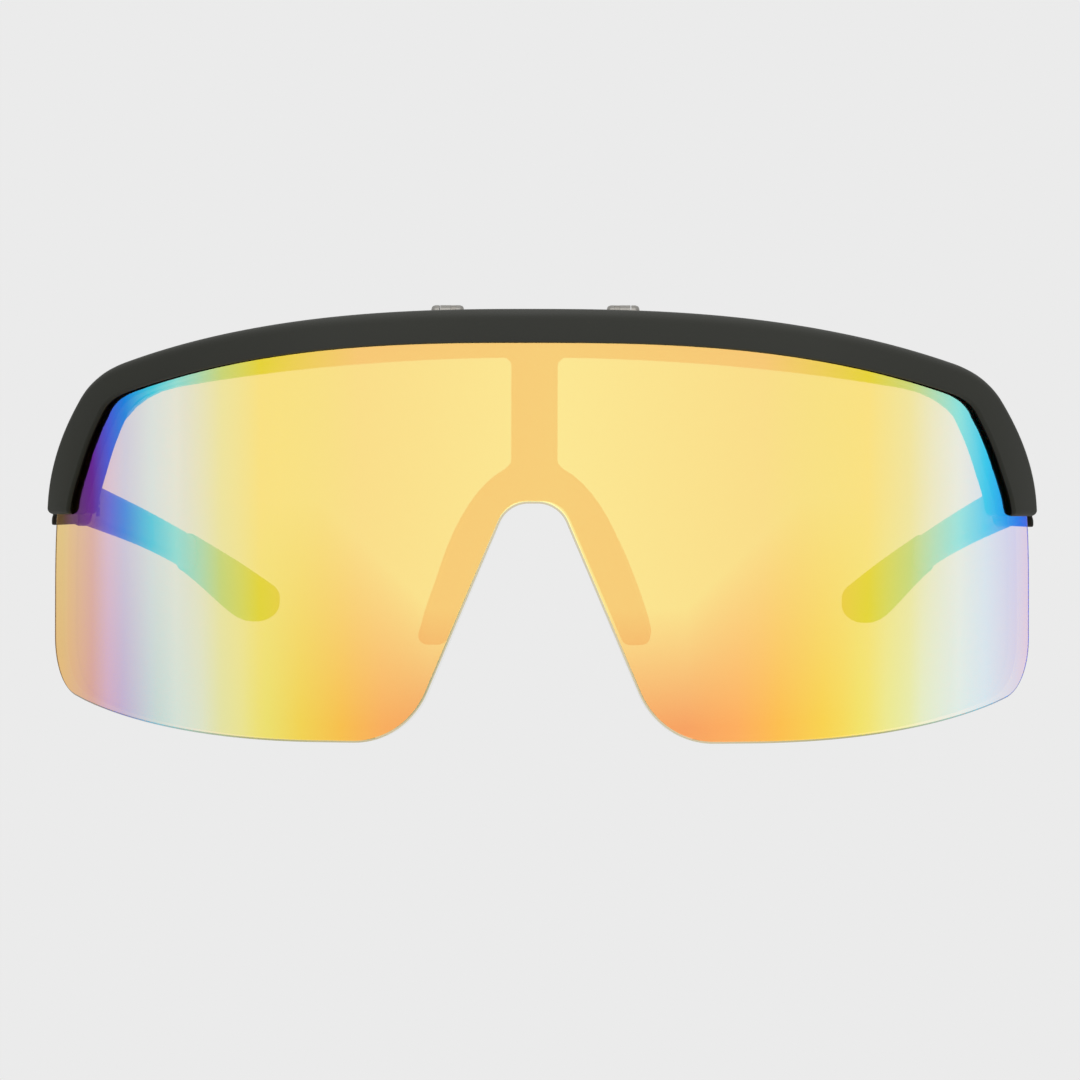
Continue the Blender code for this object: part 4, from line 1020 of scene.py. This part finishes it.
def make_stage():
    """A pale floor that runs into the background, soft light and the photo's camera."""
    n = Nodes("floor")
    path = n.add("ShaderNodeLightPath", out=None)
    seen = n.add("ShaderNodeEmission", Color=BACKDROP, Strength=1.0)
    mirrored = n.add("ShaderNodeEmission", Color=WHITE, Strength=1.0)
    lit = n.add("ShaderNodeBsdfDiffuse", Color=FLOOR_SHADE)
    lit = n.add("ShaderNodeMixShader", i0=path.outputs["Is Glossy Ray"], i1=lit, i2=mirrored)
    mixed = n.add("ShaderNodeMixShader", i0=path.outputs["Is Camera Ray"], i1=lit, i2=seen)
    finish = n.finish(mixed)
    bm = bmesh.new()
    bmesh.ops.create_circle(bm, cap_ends=True, segments=64, radius=FLOOR_RADIUS)
    mesh = bpy.data.meshes.new("floor")
    bm.to_mesh(mesh)
    bm.free()
    mesh.materials.append(finish)
    floor = bpy.data.objects.new("floor", mesh)
    floor.location.z = -FLOOR_GAP
    bpy.context.collection.objects.link(floor)

    world = bpy.data.worlds.new("studio")
    bpy.context.scene.world = world
    world.use_nodes = True
    tree = world.node_tree
    tree.nodes.clear()
    path = tree.nodes.new("ShaderNodeLightPath")
    seen = tree.nodes.new("ShaderNodeBackground")
    seen.inputs["Color"].default_value = BACKDROP
    light = tree.nodes.new("ShaderNodeBackground")
    light.inputs["Color"].default_value = WHITE
    both = tree.nodes.new("ShaderNodeMixShader")
    output = tree.nodes.new("ShaderNodeOutputWorld")
    tree.links.new(path.outputs["Is Camera Ray"], both.inputs[0])
    tree.links.new(light.outputs[0], both.inputs[1])
    tree.links.new(seen.outputs[0], both.inputs[2])
    tree.links.new(both.outputs[0], output.inputs["Surface"])

    lamp = bpy.data.lights.new("overhead", "AREA")
    lamp.shape = "DISK"
    lamp.size = LAMP_SIZE
    lamp.energy = LAMP_ENERGY
    above = bpy.data.objects.new("overhead", lamp)
    above.location = LAMP_PLACE
    above.rotation_euler = (LAMP_TILT, 0, 0)
    bpy.context.collection.objects.link(above)

    view = bpy.data.cameras.new("view")
    view.lens = VIEW_FOCAL
    view.sensor_width = VIEW_SENSOR
    view.clip_start = VIEW_NEAR
    camera = bpy.data.objects.new("view", view)
    bpy.context.collection.objects.link(camera)
    away = Vector((math.sin(VIEW_AZIMUTH), -math.cos(VIEW_AZIMUTH), 0))
    basis = Matrix((
        (math.cos(VIEW_AZIMUTH), 0, away.x),
        (math.sin(VIEW_AZIMUTH), 0, away.y),
        (0, 1, 0),
    )).to_4x4() @ Matrix.Rotation(VIEW_ROLL, 4, "Z")
    camera.matrix_world = STAND @ Matrix.Translation(VIEW_AIM + away * VIEW_DISTANCE) @ basis
    bpy.context.scene.camera = camera
    bpy.context.scene.view_settings.view_transform = "Standard"


make_brow()
make_lens()
make_inner_frame()
for side_name, side_sign in SIDES:
    make_flip_bracket(side_name, side_sign)
    make_flip_hinge(side_name, side_sign)
    make_nose_pad(side_name, side_sign)
    make_temple_arm(side_name, side_sign)
    make_temple_tip(side_name, side_sign)
dress_metal()
make_stage()
